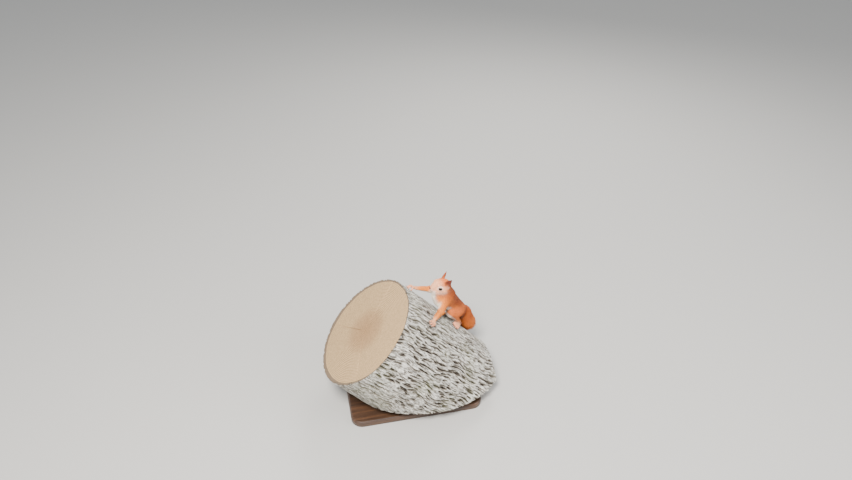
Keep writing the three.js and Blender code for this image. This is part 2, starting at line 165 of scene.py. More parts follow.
@dataclass(frozen=True)
class Trunk:
    """The leaning trunk, and the squirrel's frame on its bark.

    The axis runs along x, one radius below the zero point. Angles go round the axis from the
    trunk's top line towards the animal's right.

    Args:
        lean: Degrees by which it rises from the level.
        radius: Its radius under the animal.
        taper: Loss of radius for each millimetre up.
        swell: Height of its broad waves.
        body_around: Angle of the animal's middle line.
        axis_x: Place of the axis under the animal, from the base's middle along x.
        foot_drop: Height of that place over the level cut at the foot.
        upper_cut: Way up the trunk to its upper cut.
    """

    lean: float = 48.5
    radius: float = 135.0
    taper: float = 0.027
    swell: float = 1.0
    body_around: float = 12.0
    axis_x: float = -12.0
    foot_drop: float = 48.0
    upper_cut: float = 132.0

    def axes(self) -> Array:
        """Rows: the frame's x, y and z directions in the shared frame.

        Returns:
            Three unit rows.
        """
        t, b = math.radians(self.lean), math.radians(self.body_around)
        up = np.array([-math.cos(t), 0, math.sin(t)])
        top = np.array([math.sin(t), 0, math.cos(t)])
        out = top * math.cos(b) + np.array([0, 1.0, 0]) * math.sin(b)
        return np.array([up, np.cross(out, up), out])

    def grip(self) -> Array:
        """The point on the axis under the animal, in millimetres of the shared frame.

        Returns:
            The point.
        """
        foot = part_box("perch_trunk_section")[0].z / MM
        base_low, base_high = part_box("stand_base")
        middle = (base_low + base_high) / 2 / MM
        return np.array([middle.x + self.axis_x, middle.y, foot + self.foot_drop])

    def world(self, points: Array) -> Array:
        """Points of the squirrel's frame in millimetres of the shared frame."""
        axes = self.axes()
        return self.grip() + self.radius * axes[2] + points @ axes

    def local(self, points: Array) -> Array:
        """Points of the shared frame, in millimetres, in the squirrel's frame."""
        return (points - self.world(np.zeros(3))) @ self.axes().T

    def bark(self, along: Array, around: Array) -> Array:
        """The bark's distance from the axis, with its taper and broad waves.

        Args:
            along: Way up the trunk.
            around: Angle round it in degrees.

        Returns:
            The distances.
        """
        a = np.radians(around)
        waves = 0.6 * np.sin(3 * a + along / 70) + 0.4 * np.sin(5 * a - along / 45)
        return self.radius - self.taper * along + self.swell * (waves - 1)

    def outward(self, around: Array) -> Array:
        """Directions out of the bark at angles round the trunk."""
        a = np.radians(np.asarray(around, float) - self.body_around)
        return np.stack([np.zeros_like(a), -np.sin(a), np.cos(a)], -1)

    def on_bark(self, along: float, around: float, off: float) -> Array:
        """A point by its way up the trunk, its angle round it and its height off the bark."""
        reach = self.bark(along, around) + off
        return np.array([along, 0, -self.radius]) + reach * self.outward(around)

    def polar(self, points: Array) -> tuple[Array, Array, Array]:
        """How far up, how far round and how high off the bark each point is.

        Args:
            points: Points of the squirrel's frame.

        Returns:
            The three measures, in that order.
        """
        rise = points[..., 2] + self.radius
        around = self.body_around + np.degrees(np.arctan2(-points[..., 1], rise))
        along = points[..., 0]
        return along, around, np.hypot(points[..., 1], rise) - self.bark(along, around)


TRUNK = Trunk()


@dataclass(frozen=True)
class Face:
    """The head's own axes: back from the nose tip, out to the left, and up."""

    nose: Triple = (88.2, 13.0, 30.4)
    turn: float = 2.0
    drop: float = 38.0
    roll: float = -9.0

    def axes(self) -> Array:
        """Rows: back, left and up, in the squirrel's frame.

        Returns:
            Three unit rows.
        """
        out, left = np.array([0, 0, 1.0]), np.array([0, 1.0, 0])
        forward = turned(turned(np.array([1.0, 0, 0]), left, self.drop), out, self.turn)
        side = turned(turned(left, out, self.turn), forward, self.roll)
        return np.array([-forward, side, np.cross(forward, side)])

    def point(self, back: float, side: float, up: float) -> Array:
        """A point on the head."""
        return np.array(self.nose) + np.array([back, side, up]) @ self.axes()

    def local(self, points: Array) -> Array:
        """Points as back, side and up."""
        return (points - np.array(self.nose)) @ self.axes().T


FACE = Face()


# ------------------------------------------------------------------ lofts

@dataclass
class Loft:
    """A row of ovals along a smooth path, each swept as an ellipsoid.

    Args:
        stations: Rows of x, y, z, half width and half depth.
        side: The direction the half widths lie along.
        inset: How far the skin lies under the coat's tips, at each end of the path.
        blunt: Length of the end domes, as a share of the mean half size.
        flow: 1 if the coat lies along the path, -1 if against it.
    """

    stations: Array
    side: Array
    inset: Pair = (0.0, 0.0)
    blunt: float = 1.0
    flow: float = 1.0
    samples: dict[str, Array] = field(default_factory=dict)

    def __post_init__(self) -> None:
        """Works out the samples along the path."""
        rows = np.asarray(self.stations, float)
        mean = rows[:, 3:].mean() * self.blunt
        length = np.linalg.norm(np.diff(rows[:, :3], axis=0), axis=1).sum()
        count = max(int(math.ceil(length / (mean / 4.5))), 5)
        at, size = spline(rows[:, :3], count), spline(rows[:, 3:], count, 0.0)
        t = np.linspace(0, 1, count)
        tangent = unit(np.gradient(at, axis=0))
        across = unit(self.side - tangent * (tangent @ self.side)[:, None])
        inset = self.inset[0] + (self.inset[1] - self.inset[0]) * t[:, None]
        size = np.maximum(size - inset, 0.35)
        self.samples = {
            "t": t, "at": at, "along": tangent, "across": across,
            "up": np.cross(across, tangent), "size": size, "dome": size.mean(1) * self.blunt,
        }

    def nearest(self, points: Array) -> tuple[Array, Array]:
        """The rough distance from each point to the loft's skin, and the nearest sample.

        For each sample's ellipsoid the distance is measured along the ray from its middle: the
        point's range less the ellipsoid's reach that way. The least of them counts.

        Args:
            points: Points of the squirrel's frame.

        Returns:
            The distances, and each nearest sample's number.
        """
        s = self.samples
        best = np.full(len(points), FAR)
        which = np.zeros(len(points), int)
        for i in range(len(s["t"])):
            gap = reach_gap(points - s["at"][i], s, i)
            closer = gap < best
            best[closer], which[closer] = gap[closer], i
        return best, which


def reach_gap(offset: Array, s: dict[str, Array], i: int) -> Array:
    """Range from an ellipsoid's middle less its reach in that direction.

    Args:
        offset: Places measured from the ellipsoid's middle.
        s: A loft's samples.
        i: Which sample.

    Returns:
        The differences, below zero inside.
    """
    wide, deep = s["size"][i]
    basis = np.array([s["across"][i] / wide, s["up"][i] / deep, s["along"][i] / s["dome"][i]])
    scaled = np.sqrt(((offset @ basis.T.astype(offset.dtype)) ** 2).sum(-1)) + 1e-6
    reach = np.sqrt((offset ** 2).sum(-1)) + 1e-6
    return reach - reach / scaled


def box_round(lofts: list[Loft], margin: float) -> tuple[Array, Array]:
    """The lowest and highest corners of a box round lofts, with room to spare.

    Args:
        lofts: The lofts.
        margin: The room on every side.

    Returns:
        The two corners.
    """
    widest = [(loft.samples["at"], loft.samples["size"].max()) for loft in lofts]
    return (np.min([(at - size - margin).min(0) for at, size in widest], axis=0),
            np.max([(at + size + margin).max(0) for at, size in widest], axis=0))


def rows(*stations: tuple) -> Array:
    """Stations given as (point, half width, half depth) as one table."""
    return np.array([[*at, wide, deep] for at, wide, deep in stations], float)


def P(x: float, y: float, z: float) -> Array:
    """A point or direction in the squirrel's frame."""
    return np.array([x, y, z], float)


LEFTWARD = P(0, 1, 0)


# ------------------------------------------------------------------ anatomy

class Named(Enum):
    """A choice whose name is used in the names of nodes."""

    @property
    def word(self) -> str:
        """Its name there."""
        return self.name.lower()


class Side(Named):
    """The animal's two sides; the value is the sign of its leftward direction."""

    LEFT = 1
    RIGHT = -1


class End(Named):
    """The animal's two ends; the value names the paw and the limb there."""

    FORE = ("forepaw", "arm")
    HIND = ("hind_foot", "leg")


@dataclass(frozen=True)
class LimbPoints:
    """Joint places and arm thicknesses of one side's limbs."""

    shoulder: Array
    elbow: Array
    wrist: Array
    palm: Array
    hip: Array
    knee: Array
    ankle: Array
    heel: Array
    ball: Array
    arm: tuple[float, float, float, float, float]


LIMBS = {
    Side.LEFT: LimbPoints(
        P(42, 21, 30), P(38, 34, 6.5), P(56.5, 59, -8.5), P(60, 68.5, -15.5), P(-26, -7, 29.5),
        P(-1, 12, 16), P(-38, 8, 10), P(-46, 7, 8), P(-31, 21, 3.5), (12.5, 9.8, 8.2, 6.8, 5.2)),
    Side.RIGHT: LimbPoints(
        P(50, -4, 33), P(65, -19, 23), P(94.5, -18, 6.5), P(103.5, -19.5, 3.0), P(-30, -23, 28.5),
        P(-5, -38.5, 15.5), P(-46, -42, 6.5), P(-54, -43.5, 3), P(-37.5, -55, -7),
        (10.5, 8.8, 7.4, 6, 4.2)),
}


@dataclass(frozen=True)
class PawPlan:
    """A paw's half width and thickness, and its digits' fan, lengths, thickness and claws."""

    wide: float
    thick: float
    turns: tuple[float, ...]
    lengths: tuple[float, ...]
    radius: float
    claw: float
    names: tuple[str, ...]


FORE = PawPlan(5.4, 3.5, (44, 15, -14, -42), (5, 7.2, 7.2, 5.5), 1.65, 2.3,
               ("inner", "second", "third", "outer"))
REACH = PawPlan(6.0, 3.6, (66, 22, -18, -58), (6.4, 8.8, 9.0, 7.0), 1.75, 2.6, FORE.names)
HIND = PawPlan(6.2, 3.8, (32, 14, 2, -11, -30), (7, 10, 10.5, 10, 7), 1.8, 3.0,
               ("first", "second", "third", "fourth", "fifth"))


@dataclass
class Paw:
    """A flat sole with a fan of digits that come down on the bark, and their claws' paths."""

    heel: Array
    knuckles: Array
    plan: PawPlan
    inset: float = 0.35

    def outward(self, point: Array) -> Array:
        """The way out of the bark at a point."""
        return TRUNK.outward(TRUNK.polar(point)[1])

    def ways(self) -> tuple[Array, Array]:
        """The directions ahead and across at the knuckles."""
        ahead = unit(self.knuckles - self.heel)
        return ahead, unit(np.cross(self.outward(self.knuckles), ahead))

    def sole(self) -> Loft:
        """The palm or sole, from the wrist or heel to the knuckles.

        Returns:
            The loft.
        """
        across = self.ways()[1]
        middle = self.heel + (self.knuckles - self.heel) * 0.55
        w, t = self.plan.wide, self.plan.thick
        return Loft(rows((self.heel, w * 0.72, t * 1.15), (middle, w * 0.86, t),
                         (self.knuckles, w, t * 0.86)), across, (self.inset, self.inset), 0.6)

    def digits(self) -> list[tuple[Loft, Array]]:
        """Each digit's loft and the path of its claw.

        Returns:
            A pair for each digit, from the inner side outward.
        """
        plan, (ahead, across) = self.plan, self.ways()
        made = []
        for i, turn in enumerate(plan.turns):
            spread = 1 - 2 * i / (len(plan.turns) - 1)
            root = (self.knuckles + across * spread * (plan.wide - plan.radius) * 0.95
                    - ahead * abs(spread) * plan.wide * 0.35)
            made.append(self.digit(root, ahead, turn, plan.lengths[i]))
        return made

    def digit(self, root: Array, ahead: Array, turn: float, length: float) -> tuple[Loft, Array]:
        """One digit: it arches from its root to its tip on the bark, and its claw hooks on.

        Args:
            root: Where it leaves the sole.
            ahead: The paw's own direction.
            turn: Degrees it turns from that.
            length: From root to tip.

        Returns:
            The digit's loft and its claw's path.
        """
        r, up = self.plan.radius, self.outward(root)
        way = turned(unit(ahead - up * float(ahead @ up)), up, turn)

        def step(distance: float, off: float) -> Array:
            """A point at a distance along the bark and a height off it."""
            return TRUNK.on_bark(*TRUNK.polar(root + way * distance)[:2], off)

        knuckle = root + way * length * 0.5 + up * r * 0.5
        bar = Loft(rows((root, r * 1.1, r * 1.1), (knuckle, r * 0.98, r * 0.98),
                        (step(length, r - 0.2), r, r)), unit(np.cross(up, way)), (0.15, 0.05))
        claw = np.array([step(length + r * 0.2, r * 1.25), step(length + r * 1.15, r * 1.4),
                         step(length + r + self.plan.claw * 0.75, r * 0.95),
                         step(length + r + self.plan.claw + 0.9, 0.25)])
        return bar, claw


@dataclass(frozen=True)
class Growth:
    """How the coat grows on one part, at the start and the end of its path.

    Args:
        length: Length of the tufts in millimetres.
        lift: Degrees by which they stand off the skin.
        width: Width of a tuft at its root.
        dense: Tufts for each square millimetre.
        rings: How many rings of three points a tuft has under its tip; it is not used.
    """

    length: Pair
    lift: Pair
    width: Pair
    dense: float
    rings: int = 2


@dataclass
class Region:
    """One named part of the animal: its lofts, how they join the rest, and its coat."""

    name: str
    lofts: list[Loft]
    soft: float
    growth: Growth
    piece: str


@dataclass
class Anatomy:
    """Every part of the squirrel, as lofts that lie inside the solids by the coat's depth.

    Args:
        head_rows: The head's sections: way back, top, bottom and half width.
        ear_rows: An ear's sections: way back, out and up, half width and half depth.
        ear_dish: How far the dish lies in front of the ear's leaf and under its tip.
        ear_wall: How much narrower it is.
        eye_place: The left eye's middle, back, out and up.
        lid_opening: Half width and half height of the opening between the lids.
        mouth: The mouth's line on the left side.
        jaw: The fold behind it.
        jaw_fold: Depth of that fold on each side, as a factor.
        jaw_tint: How dark the painted shadow along that fold is on each side.
        tail_full: Fullness of the brush along the tail.
        tail_size: Its greatest half width and half depth.
        tail_core: The inner body's share of them.
    """

    head_rows: Table = ((1.6, 4.4, -4.6, 4.6), (4.5, 8.2, -7.4, 7.2), (9, 12.8, -9.4, 9.6),
                        (15, 17.4, -11, 13.4), (22, 20.6, -12.6, 16.8), (29, 22, -12.8, 18.2),
                        (36, 20.4, -11, 16.2), (40.5, 16.5, -7.5, 12.5))
    ear_rows: Table = ((31.5, 10.5, 13, 5.2, 3.4), (33, 12.4, 18.5, 6.6, 3.6),
                       (35.4, 14, 24, 4.8, 2.4), (38, 15.2, 28.5, 1.6, 1.1))
    ear_dish: float = 2.4
    ear_wall: float = 1.5
    eye_place: Triple = (18.2, 12.4, 7.4)
    lid_opening: Pair = (3.5, 2.75)
    mouth: Table = ((1.0, 0.0, -1.6), (1.6, 0.0, -3.4), (3.2, 1.6, -4.3), (6.0, 3.9, -4.9),
                    (9.0, 6.2, -4.9), (11.2, 7.9, -4.2))
    jaw: Table = ((10.5, 5.2, -11.0), (14.0, 7.4, -11.6), (18.0, 9.6, -12.0), (21.0, 11.0, -12.0))
    jaw_fold: dict[Side, float] = field(
        default_factory=lambda: {Side.LEFT: 1.2, Side.RIGHT: 0.55})
    # strength of the painted shadow along the jaw's fold on each side
    jaw_tint: dict[Side, float] = field(
        default_factory=lambda: {Side.LEFT: 0.9, Side.RIGHT: 0.3})
    tail_full: tuple[float, ...] = (0.6, 0.8, 0.94, 1.0, 1.0, 0.86, 0.45)
    tail_size: Pair = (23.0, 21.5)
    tail_core: float = 0.62
    paws: dict[tuple[Side, End], Paw] = field(init=False)
    regions: list[Region] = field(init=False)

    def __post_init__(self) -> None:
        """Builds all regions."""
        self.paws = {(s, End.FORE): Paw(LIMBS[s].wrist, LIMBS[s].palm, plan)
                     for s, plan in ((Side.LEFT, FORE), (Side.RIGHT, REACH))}
        self.paws |= {(s, End.HIND): Paw(LIMBS[s].heel, LIMBS[s].ball, HIND) for s in Side}
        self.regions = [self.head(), self.trunk(), self.neck()]
        for side in Side:
            self.regions += self.arm(side) + self.leg(side)
        self.regions += [self.tail()] + [self.ear(side) for side in Side]

    def head(self) -> Region:
        """The skull and face without its features.

        Returns:
            The region.
        """
        axes = FACE.axes()
        table = rows(*((FACE.point(b, 0, (top + low) / 2), wide, (top - low) / 2)
                       for b, top, low, wide in self.head_rows))
        loft = Loft(table, axes[1], (0.35, 1.3), 0.6)
        return Region("head", [loft], 0.0, Growth((1.0, 3.2), (10, 17), (0.3, 0.5), 2.8), "head")

    def neck(self) -> Region:
        """The neck, from between the shoulders up to the skull.

        Returns:
            The region.
        """
        table = rows((P(41, 11.5, 34.5), 18.5, 25), (P(57.5, 13.4, 38.5), 15.5, 25),
                     (P(69, 14.2, 45.5), 12, 19))
        return Region("neck", [Loft(table, LEFTWARD, (1.9, 1.4), 0.5, -1)], 10.0,
                      Growth((5.0, 4.0), (19, 18), (0.6, 0.55), 1.8), "neck")

    def trunk(self) -> Region:
        """The body from the shoulders to the rump.

        Returns:
            The region.
        """
        table = rows((P(45, 12, 34.5), 18.5, 25), (P(34, 8.5, 34), 18.5, 24.5),
                     (P(14, 1, 33), 18, 21), (P(-8, -7.5, 30.5), 21, 19.5),
                     (P(-24, -13.5, 29), 21.5, 18.5), (P(-35, -17.8, 28.5), 14.5, 13.5))
        return Region("trunk", [Loft(table, LEFTWARD, (1.8, 1.9), 0.75)], 6.0,
                      Growth((5.0, 6.2), (18, 20), (0.62, 0.72), 1.7), "trunk")

    def arm(self, side: Side) -> list[Region]:
        """Upper arm, forearm and forepaw of one side.

        Args:
            side: Which side.

        Returns:
            The three regions.
        """
        j = LIMBS[side]
        a = j.arm
        upper = Loft(rows((j.shoulder, a[0], a[0]), ((j.shoulder + j.elbow) / 2, a[1], a[1]),
                          (j.elbow, a[2], a[2])), LEFTWARD, (1.4, 1.1), 0.8)
        fore = Loft(rows((j.elbow, a[2] - 0.6, a[2] - 0.6), ((j.elbow + j.wrist) / 2, a[3], a[3]),
                         (j.wrist, a[4], a[4])), LEFTWARD, (0.9, 0.5), 0.8)
        word = side.word
        return [
            Region(f"upper_arm_{word}", [upper], 6.5, Growth((4.0, 3.2), (18, 17), (0.55, 0.5), 1.9),
                   f"arm_{word}"),
            Region(f"forearm_{word}", [fore], 4.0, Growth((3.0, 1.5), (16, 11), (0.45, 0.34), 2.8),
                   f"arm_{word}"),
            self.extremity(side, End.FORE, Growth((1.3, 0.8), (8, 8), (0.3, 0.25), 3.2)),
        ]

    def extremity(self, side: Side, end: End, growth: Growth) -> Region:
        """A forepaw or hind foot with its digits.

        Args:
            side: Which side.
            end: Which end.
            growth: Its coat.

        Returns:
            The region.
        """
        paw, (name, limb) = self.paws[side, end], end.value
        return Region(f"{name}_{side.word}", [paw.sole()] + [bar for bar, _ in paw.digits()], 1.1,
                      growth, f"{limb}_{side.word}")

    def leg(self, side: Side) -> list[Region]:
        """Thigh, shank and hind foot of one side.

        Args:
            side: Which side.

        Returns:
            The three regions.
        """
        j, word = LIMBS[side], side.word
        middle = (j.hip + j.knee) / 2
        thigh = Loft(rows((j.hip, 16.6, 18.5), (middle, 17.1, 19), (j.knee, 11.9, 12.5)), LEFTWARD,
                     (1.8, 1.4), 0.8)
        shin = Loft(rows((j.knee, 9.5, 9.5), ((j.knee + j.ankle) / 2, 7.5, 7.5),
                         (j.ankle, 5.2, 5.2)), LEFTWARD, (1.2, 0.5), 0.8)
        return [
            Region(f"thigh_{word}", [thigh], 4.5, Growth((5.6, 4.4), (19, 17), (0.65, 0.6), 1.7),
                   f"leg_{word}"),
            Region(f"shank_{word}", [shin], 4.0, Growth((3.6, 2.1), (16, 12), (0.5, 0.4), 2.2),
                   f"leg_{word}"),
            self.extremity(side, End.HIND, Growth((1.5, 0.9), (8, 8), (0.32, 0.28), 3.0)),
        ]

    def tail_path(self) -> Array:
        """The tail's middle line: it leaves the rump and drapes down the trunk's far side.

        Returns:
            Points from the root to the tip.
        """
        return np.array([P(-34, -17.5, 31), P(-47, -21, 32)] + [
            TRUNK.on_bark(*spot) for spot in
            ((-65, 21, 26), (-82, 23.5, 20.5), (-98, 29, 18), (-109, 38, 17), (-114, 47, 16))])

    def tail(self) -> Region:
        """The brush's inner body, from which the long hair stands off.

        Returns:
            The region.
        """
        far = -math.sin(math.radians(TRUNK.body_around))
        side = unit(P(1.0, -math.cos(math.radians(TRUNK.body_around)), far))
        wide, deep = self.tail_size
        table = rows(*((at, max(wide * f * self.tail_core, 6.5), max(deep * f * self.tail_core, 6.0))
                       for at, f in zip(self.tail_path(), self.tail_full)))
        return Region("tail", [Loft(table, side, (0, 0), 0.9)], 6.0,
                      Growth((10.0, 18.0), (22, 31), (0.62, 0.85), 3.0, 4), "tail")

    def ear_loft(self, side: Side, forward: float, slim: float, tip: float) -> Loft:
        """An ear's leaf, moved forward, slimmed and shortened.

        Args:
            side: Which side.
            forward: How far it is moved the way the ear faces.
            slim: How much narrower it is.
            tip: How much higher its tip is.

        Returns:
            The loft.
        """
        facing = self.ear_way(side)
        edge = unit(np.cross(FACE.axes()[2], facing))
        last = len(self.ear_rows) - 1
        table = [(FACE.point(b, side.value * out, rise + (tip if i == last else 0))
                  + forward * facing, wide - slim, max(deep - slim * 0.4, 0.4))
                 for i, (b, out, rise, wide, deep) in enumerate(self.ear_rows)]
        return Loft(rows(*table), edge, (0.5, 0.4))

    def ear_way(self, side: Side) -> Array:
        """The direction in which an ear's dish opens: forward and outward."""
        back, left, _ = FACE.axes()
        return unit(-0.62 * back + 0.78 * side.value * left)

    def ear(self, side: Side) -> Region:
        """One ear's outer leaf; its dish is carved later."""
        return Region(f"ear_{side.word}", [self.ear_loft(side, 0, 0, 0)], 2.0,
                      Growth((1.8, 4.6), (9, 12), (0.32, 0.3), 4.0), "head")

    def eye(self, side: Side) -> Array:
        """The middle of an eyeball."""
        back, out, up = self.eye_place
        return FACE.point(back, side.value * out, up)

    def gaze(self, side: Side) -> Array:
        """Where an eye looks: outward, a little forward and up."""
        back, left, up = FACE.axes()
        return unit(-0.34 * back + 0.9 * side.value * left + 0.2 * up)


ANATOMY = Anatomy()


def mouth_gap(points: Array, side: Side) -> Array:
    """Distance from points to the mouth's line on one side."""
    line = spline(np.array(ANATOMY.mouth) * [1, side.value, 1], 24)
    return near_line(FACE.local(points), line)


def eye_frame(side: Side) -> Array:
    """Rows: an eye's gaze, its level direction and its upright one.

    Args:
        side: Which eye.

    Returns:
        Three unit rows.
    """
    gaze = ANATOMY.gaze(side)
    level = unit(np.cross(FACE.axes()[2], gaze))
    return np.array([gaze, level, np.cross(gaze, level)])


def lid_reach(points: Array, side: Side) -> Array:
    """How far out from an eye's middle points lie: 1 on the lids' oval edge, 9 behind.

    Args:
        points: Points of the squirrel's frame.
        side: Which eye.

    Returns:
        The measure for each point.
    """
    q = (points - ANATOMY.eye(side)) @ eye_frame(side).T
    reach = np.sqrt((q[..., 1] / ANATOMY.lid_opening[0]) ** 2
                    + (q[..., 2] / ANATOMY.lid_opening[1]) ** 2)
    return np.where(q[..., 0] > 0.5, reach, 9.0)


def near_line(points: Array, line: Array) -> Array:
    """Distance from points to a line through several places.

    Args:
        points: The points.
        line: The places, in order, in the same frame.

    Returns:
        The distances.
    """
    best = np.full(len(points), FAR)
    for a, b in zip(line[:-1], line[1:]):
        t = np.clip((points - a) @ (b - a) / ((b - a) @ (b - a)), 0, 1)
        best = np.minimum(best, np.linalg.norm(points - a - t[:, None] * (b - a), axis=1))
    return best


# ------------------------------------------------------------------ the skin's block of space

class Block:
    """An even grid of rough distances to a surface, below zero inside it."""

    def __init__(self, low: Array, high: Array, step: float) -> None:
        """Sets up the grid, everywhere far outside.

        Args:
            low: Lowest corner.
            high: Highest corner.
            step: Spacing of the grid.
        """
        self.low, self.step = low.astype(np.float32), step
        self.shape = tuple(np.ceil((high - low) / step).astype(int) + 1)
        self.values = np.full(self.shape, OUTSIDE, np.float32)

    def window(self, low: Array, high: Array) -> Window:
        """The slices of the grid that cover a box.

        Args:
            low: The box's lowest corner.
            high: Its highest corner.

        Returns:
            A slice for each axis.
        """
        a = np.clip(np.floor((low - self.low) / self.step).astype(int), 0, np.array(self.shape) - 1)
        b = np.clip(np.ceil((high - self.low) / self.step).astype(int) + 1, a + 1, self.shape)
        return tuple(slice(int(i), int(j)) for i, j in zip(a, b))

    def points(self, where: Window) -> Array:
        """The grid points of a window.

        Args:
            where: The window.

        Returns:
            A grid of points.
        """
        axes = [self.low[i] + self.step * np.arange(s.start, s.stop, dtype=np.float32)
                for i, s in enumerate(where)]
        return np.stack(np.meshgrid(*axes, indexing="ij"), -1)

    def join(self, loft: Loft, soft: float) -> None:
        """Joins a loft on: the least range over its ellipsoids, then a soft union.

        Args:
            loft: The loft.
            soft: How broad the join is.
        """
        s, margin = loft.samples, soft + 2.0
        reach = np.maximum(s["size"].max(1), s["dome"]) + margin
        whole = self.window((s["at"] - reach[:, None]).min(0), (s["at"] + reach[:, None]).max(0))
        grown = np.full([w.stop - w.start for w in whole], OUTSIDE, np.float32)
        for i, at in enumerate(s["at"].astype(np.float32)):
            part = self.window(at - reach[i], at + reach[i])
            inner = tuple(slice(p.start - w.start, p.stop - w.start) for p, w in zip(part, whole))
            gap = reach_gap(self.points(part) - at, s, i).astype(np.float32)
            grown[inner] = np.minimum(grown[inner], gap)
        self.blend(whole, grown, soft)

    def blend(self, where: Window, other: Array, soft: float) -> None:
        """Soft union: the lesser distance, eased by up to a quarter of `soft` where equal.

        Args:
            where: The window to work in.
            other: The other shape's distances there.
            soft: How broad the join is.
        """
        mine = self.values[where]
        if soft <= 0:
            self.values[where] = np.minimum(mine, other)
            return
        h = np.clip(0.5 + 0.5 * (other - mine) / soft, 0, 1)
        self.values[where] = other + (mine - other) * h - soft * h * (1 - h)

    def carve(self, where: Window, other: Array, soft: float) -> None:
        """Soft subtraction of another shape.

        Args:
            where: The window to work in.
            other: The other shape's distances there.
            soft: How broad the rounding is.
        """
        mine = self.values[where]
        h = np.clip(0.5 - 0.5 * (other + mine) / soft, 0, 1)
        self.values[where] = mine + (-other - mine) * h + soft * h * (1 - h)

    def ellipsoid(self, at: Array, axes: Array, radii: Array) -> tuple[tuple, Array]:
        """The window round an ellipsoid and its rough distances there.

        Args:
            at: Its middle.
            axes: Its directions, as rows.
            radii: Its three radii.

        Returns:
            The window and the distances.
        """
        r = np.asarray(radii, float)
        where = self.window(at - r.max() - 4, at + r.max() + 4)
        offset = self.points(where) - at.astype(np.float32)
        scaled = np.sqrt(((offset @ (axes / r[:, None]).T.astype(np.float32)) ** 2).sum(-1)) + 1e-5
        reach = np.sqrt((offset ** 2).sum(-1)) + 1e-5
        return where, reach - reach / scaled

    def net(self) -> tuple[Array, Array]:
        """The surface where the distance is zero, as one closed net of quads.

        Each grid cell that the surface passes through gets one vertex, the mean of the places
        where it crosses the cell's edges. Each crossed grid edge gets a quad of its four cells.

        Returns:
            Vertices, and quads that face outward.
        """
        v = self.values
        inside = v < 0
        spans = (slice(0, -1), slice(1, None))
        corners = [(a, b, c) for a in (0, 1) for b in (0, 1) for c in (0, 1)]
        views = [inside[spans[a], spans[b], spans[c]] for a, b, c in corners]
        count = sum(view.astype(np.int8) for view in views)
        cells = np.argwhere((count > 0) & (count < 8))
        number = np.full(count.shape, -1, np.int32)
        number[tuple(cells.T)] = np.arange(len(cells))
        total, hits = np.zeros((len(cells), 3)), np.zeros(len(cells))
        for a in corners:
            for axis in range(3):
                if a[axis]:
                    continue
                b = tuple(1 if i == axis else a[i] for i in range(3))
                va, vb = v[tuple((cells + a).T)], v[tuple((cells + b).T)]
                crossed = (va < 0) != (vb < 0)
                t = np.where(crossed, va / np.where(crossed, va - vb, 1), 0)
                place = np.array(a, float) + np.zeros((len(cells), 3))
                place[:, axis] = t
                total += place * crossed[:, None]
                hits += crossed
        vertices = self.low + (cells + total / hits[:, None]) * self.step
        quads = []
        for axis in range(3):
            p, q = (axis + 1) % 3, (axis + 2) % 3
            near, far = [slice(None)] * 3, [slice(None)] * 3
            near[axis], far[axis] = slice(0, -1), slice(1, None)
            low, high = inside[tuple(near)], inside[tuple(far)]
            edges = np.argwhere(low != high)
            edges = edges[(edges[:, p] > 0) & (edges[:, q] > 0)]
            ring = []
            for dp, dq in ((1, 1), (0, 1), (0, 0), (1, 0)):
                cell = edges.copy()
                cell[:, p] -= dp
                cell[:, q] -= dq
                ring.append(number[tuple(cell.T)])
            faces = np.stack(ring, 1)
            flip = ~low[tuple(edges.T)]
            faces[flip] = faces[flip][:, ::-1]
            quads.append(faces)
        return vertices, np.vstack(quads)


# ------------------------------------------------------------------ meshes

def add_mesh(name: str, points: Array, faces: list[Array], finish: list[Material],
             slots: Array | None = None, smooth: bool = True) -> Object:
    """Makes an object from whole arrays of points and faces.

    Args:
        name: The piece's name.
        points: Points in millimetres of the shared frame.
        faces: Index arrays, each with three or four columns.
        finish: The materials, in slot order.
        slots: Which material each face has.
        smooth: Whether the faces are shaded smooth.

    Returns:
        The linked object.
    """
    mesh = bpy.data.meshes.new(name)
    mesh.vertices.add(len(points))
    mesh.vertices.foreach_set("co", (points * MM).astype(np.float32).ravel())
    loops = np.concatenate([f.ravel() for f in faces]).astype(np.int32)
    sizes = np.concatenate([np.full(len(f), f.shape[1]) for f in faces])
    starts = np.concatenate([[0], np.cumsum(sizes)[:-1]]).astype(np.int32)
    mesh.loops.add(len(loops))
    mesh.loops.foreach_set("vertex_index", loops)
    mesh.polygons.add(len(starts))
    mesh.polygons.foreach_set("loop_start", starts)
    for material in finish:
        mesh.materials.append(material)
    if slots is not None:
        mesh.polygons.foreach_set("material_index", slots.astype(np.int32))
    mesh.polygons.foreach_set("use_smooth", np.full(len(starts), smooth))
    mesh.update(calc_edges=True)
    mesh.validate()
    piece = bpy.data.objects.new(name, mesh)
    bpy.context.scene.collection.objects.link(piece)
    return piece


def paint(piece: Object, name: str, colours: Array) -> None:
    """Gives each point of a piece a colour, kept as a named attribute.

    Args:
        piece: The piece.
        name: The attribute's name.
        colours: Linear colours, one per row.
    """
    rgba = np.concatenate([colours, np.ones((len(colours), 1))], 1).astype(np.float32)
    layer = piece.data.color_attributes.new(name=name, type="FLOAT_COLOR", domain="POINT")
    layer.data.foreach_set("color", rgba.ravel())


def mark(piece: Object, name: str, values: Array) -> None:
    """Gives each point of a piece a number, kept as a named attribute."""
    layer = piece.data.attributes.new(name=name, type="FLOAT", domain="POINT")
    layer.data.foreach_set("value", values.astype(np.float32))


def settle(piece: Object, slot: str, replaced: list[str]) -> None:
    """Fixes a piece to the model's one body and hides what it stands for.

    Args:
        piece: The piece.
        slot: The record's slot for its finish; it is not used.
        replaced: The nodes it is shown for.
    """
    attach(piece, "root")
    if replaced:
        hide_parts(*replaced)
    piece.data.calc_loop_triangles()
    log.info("%s: %d triangles", piece.name, len(piece.data.loop_triangles))


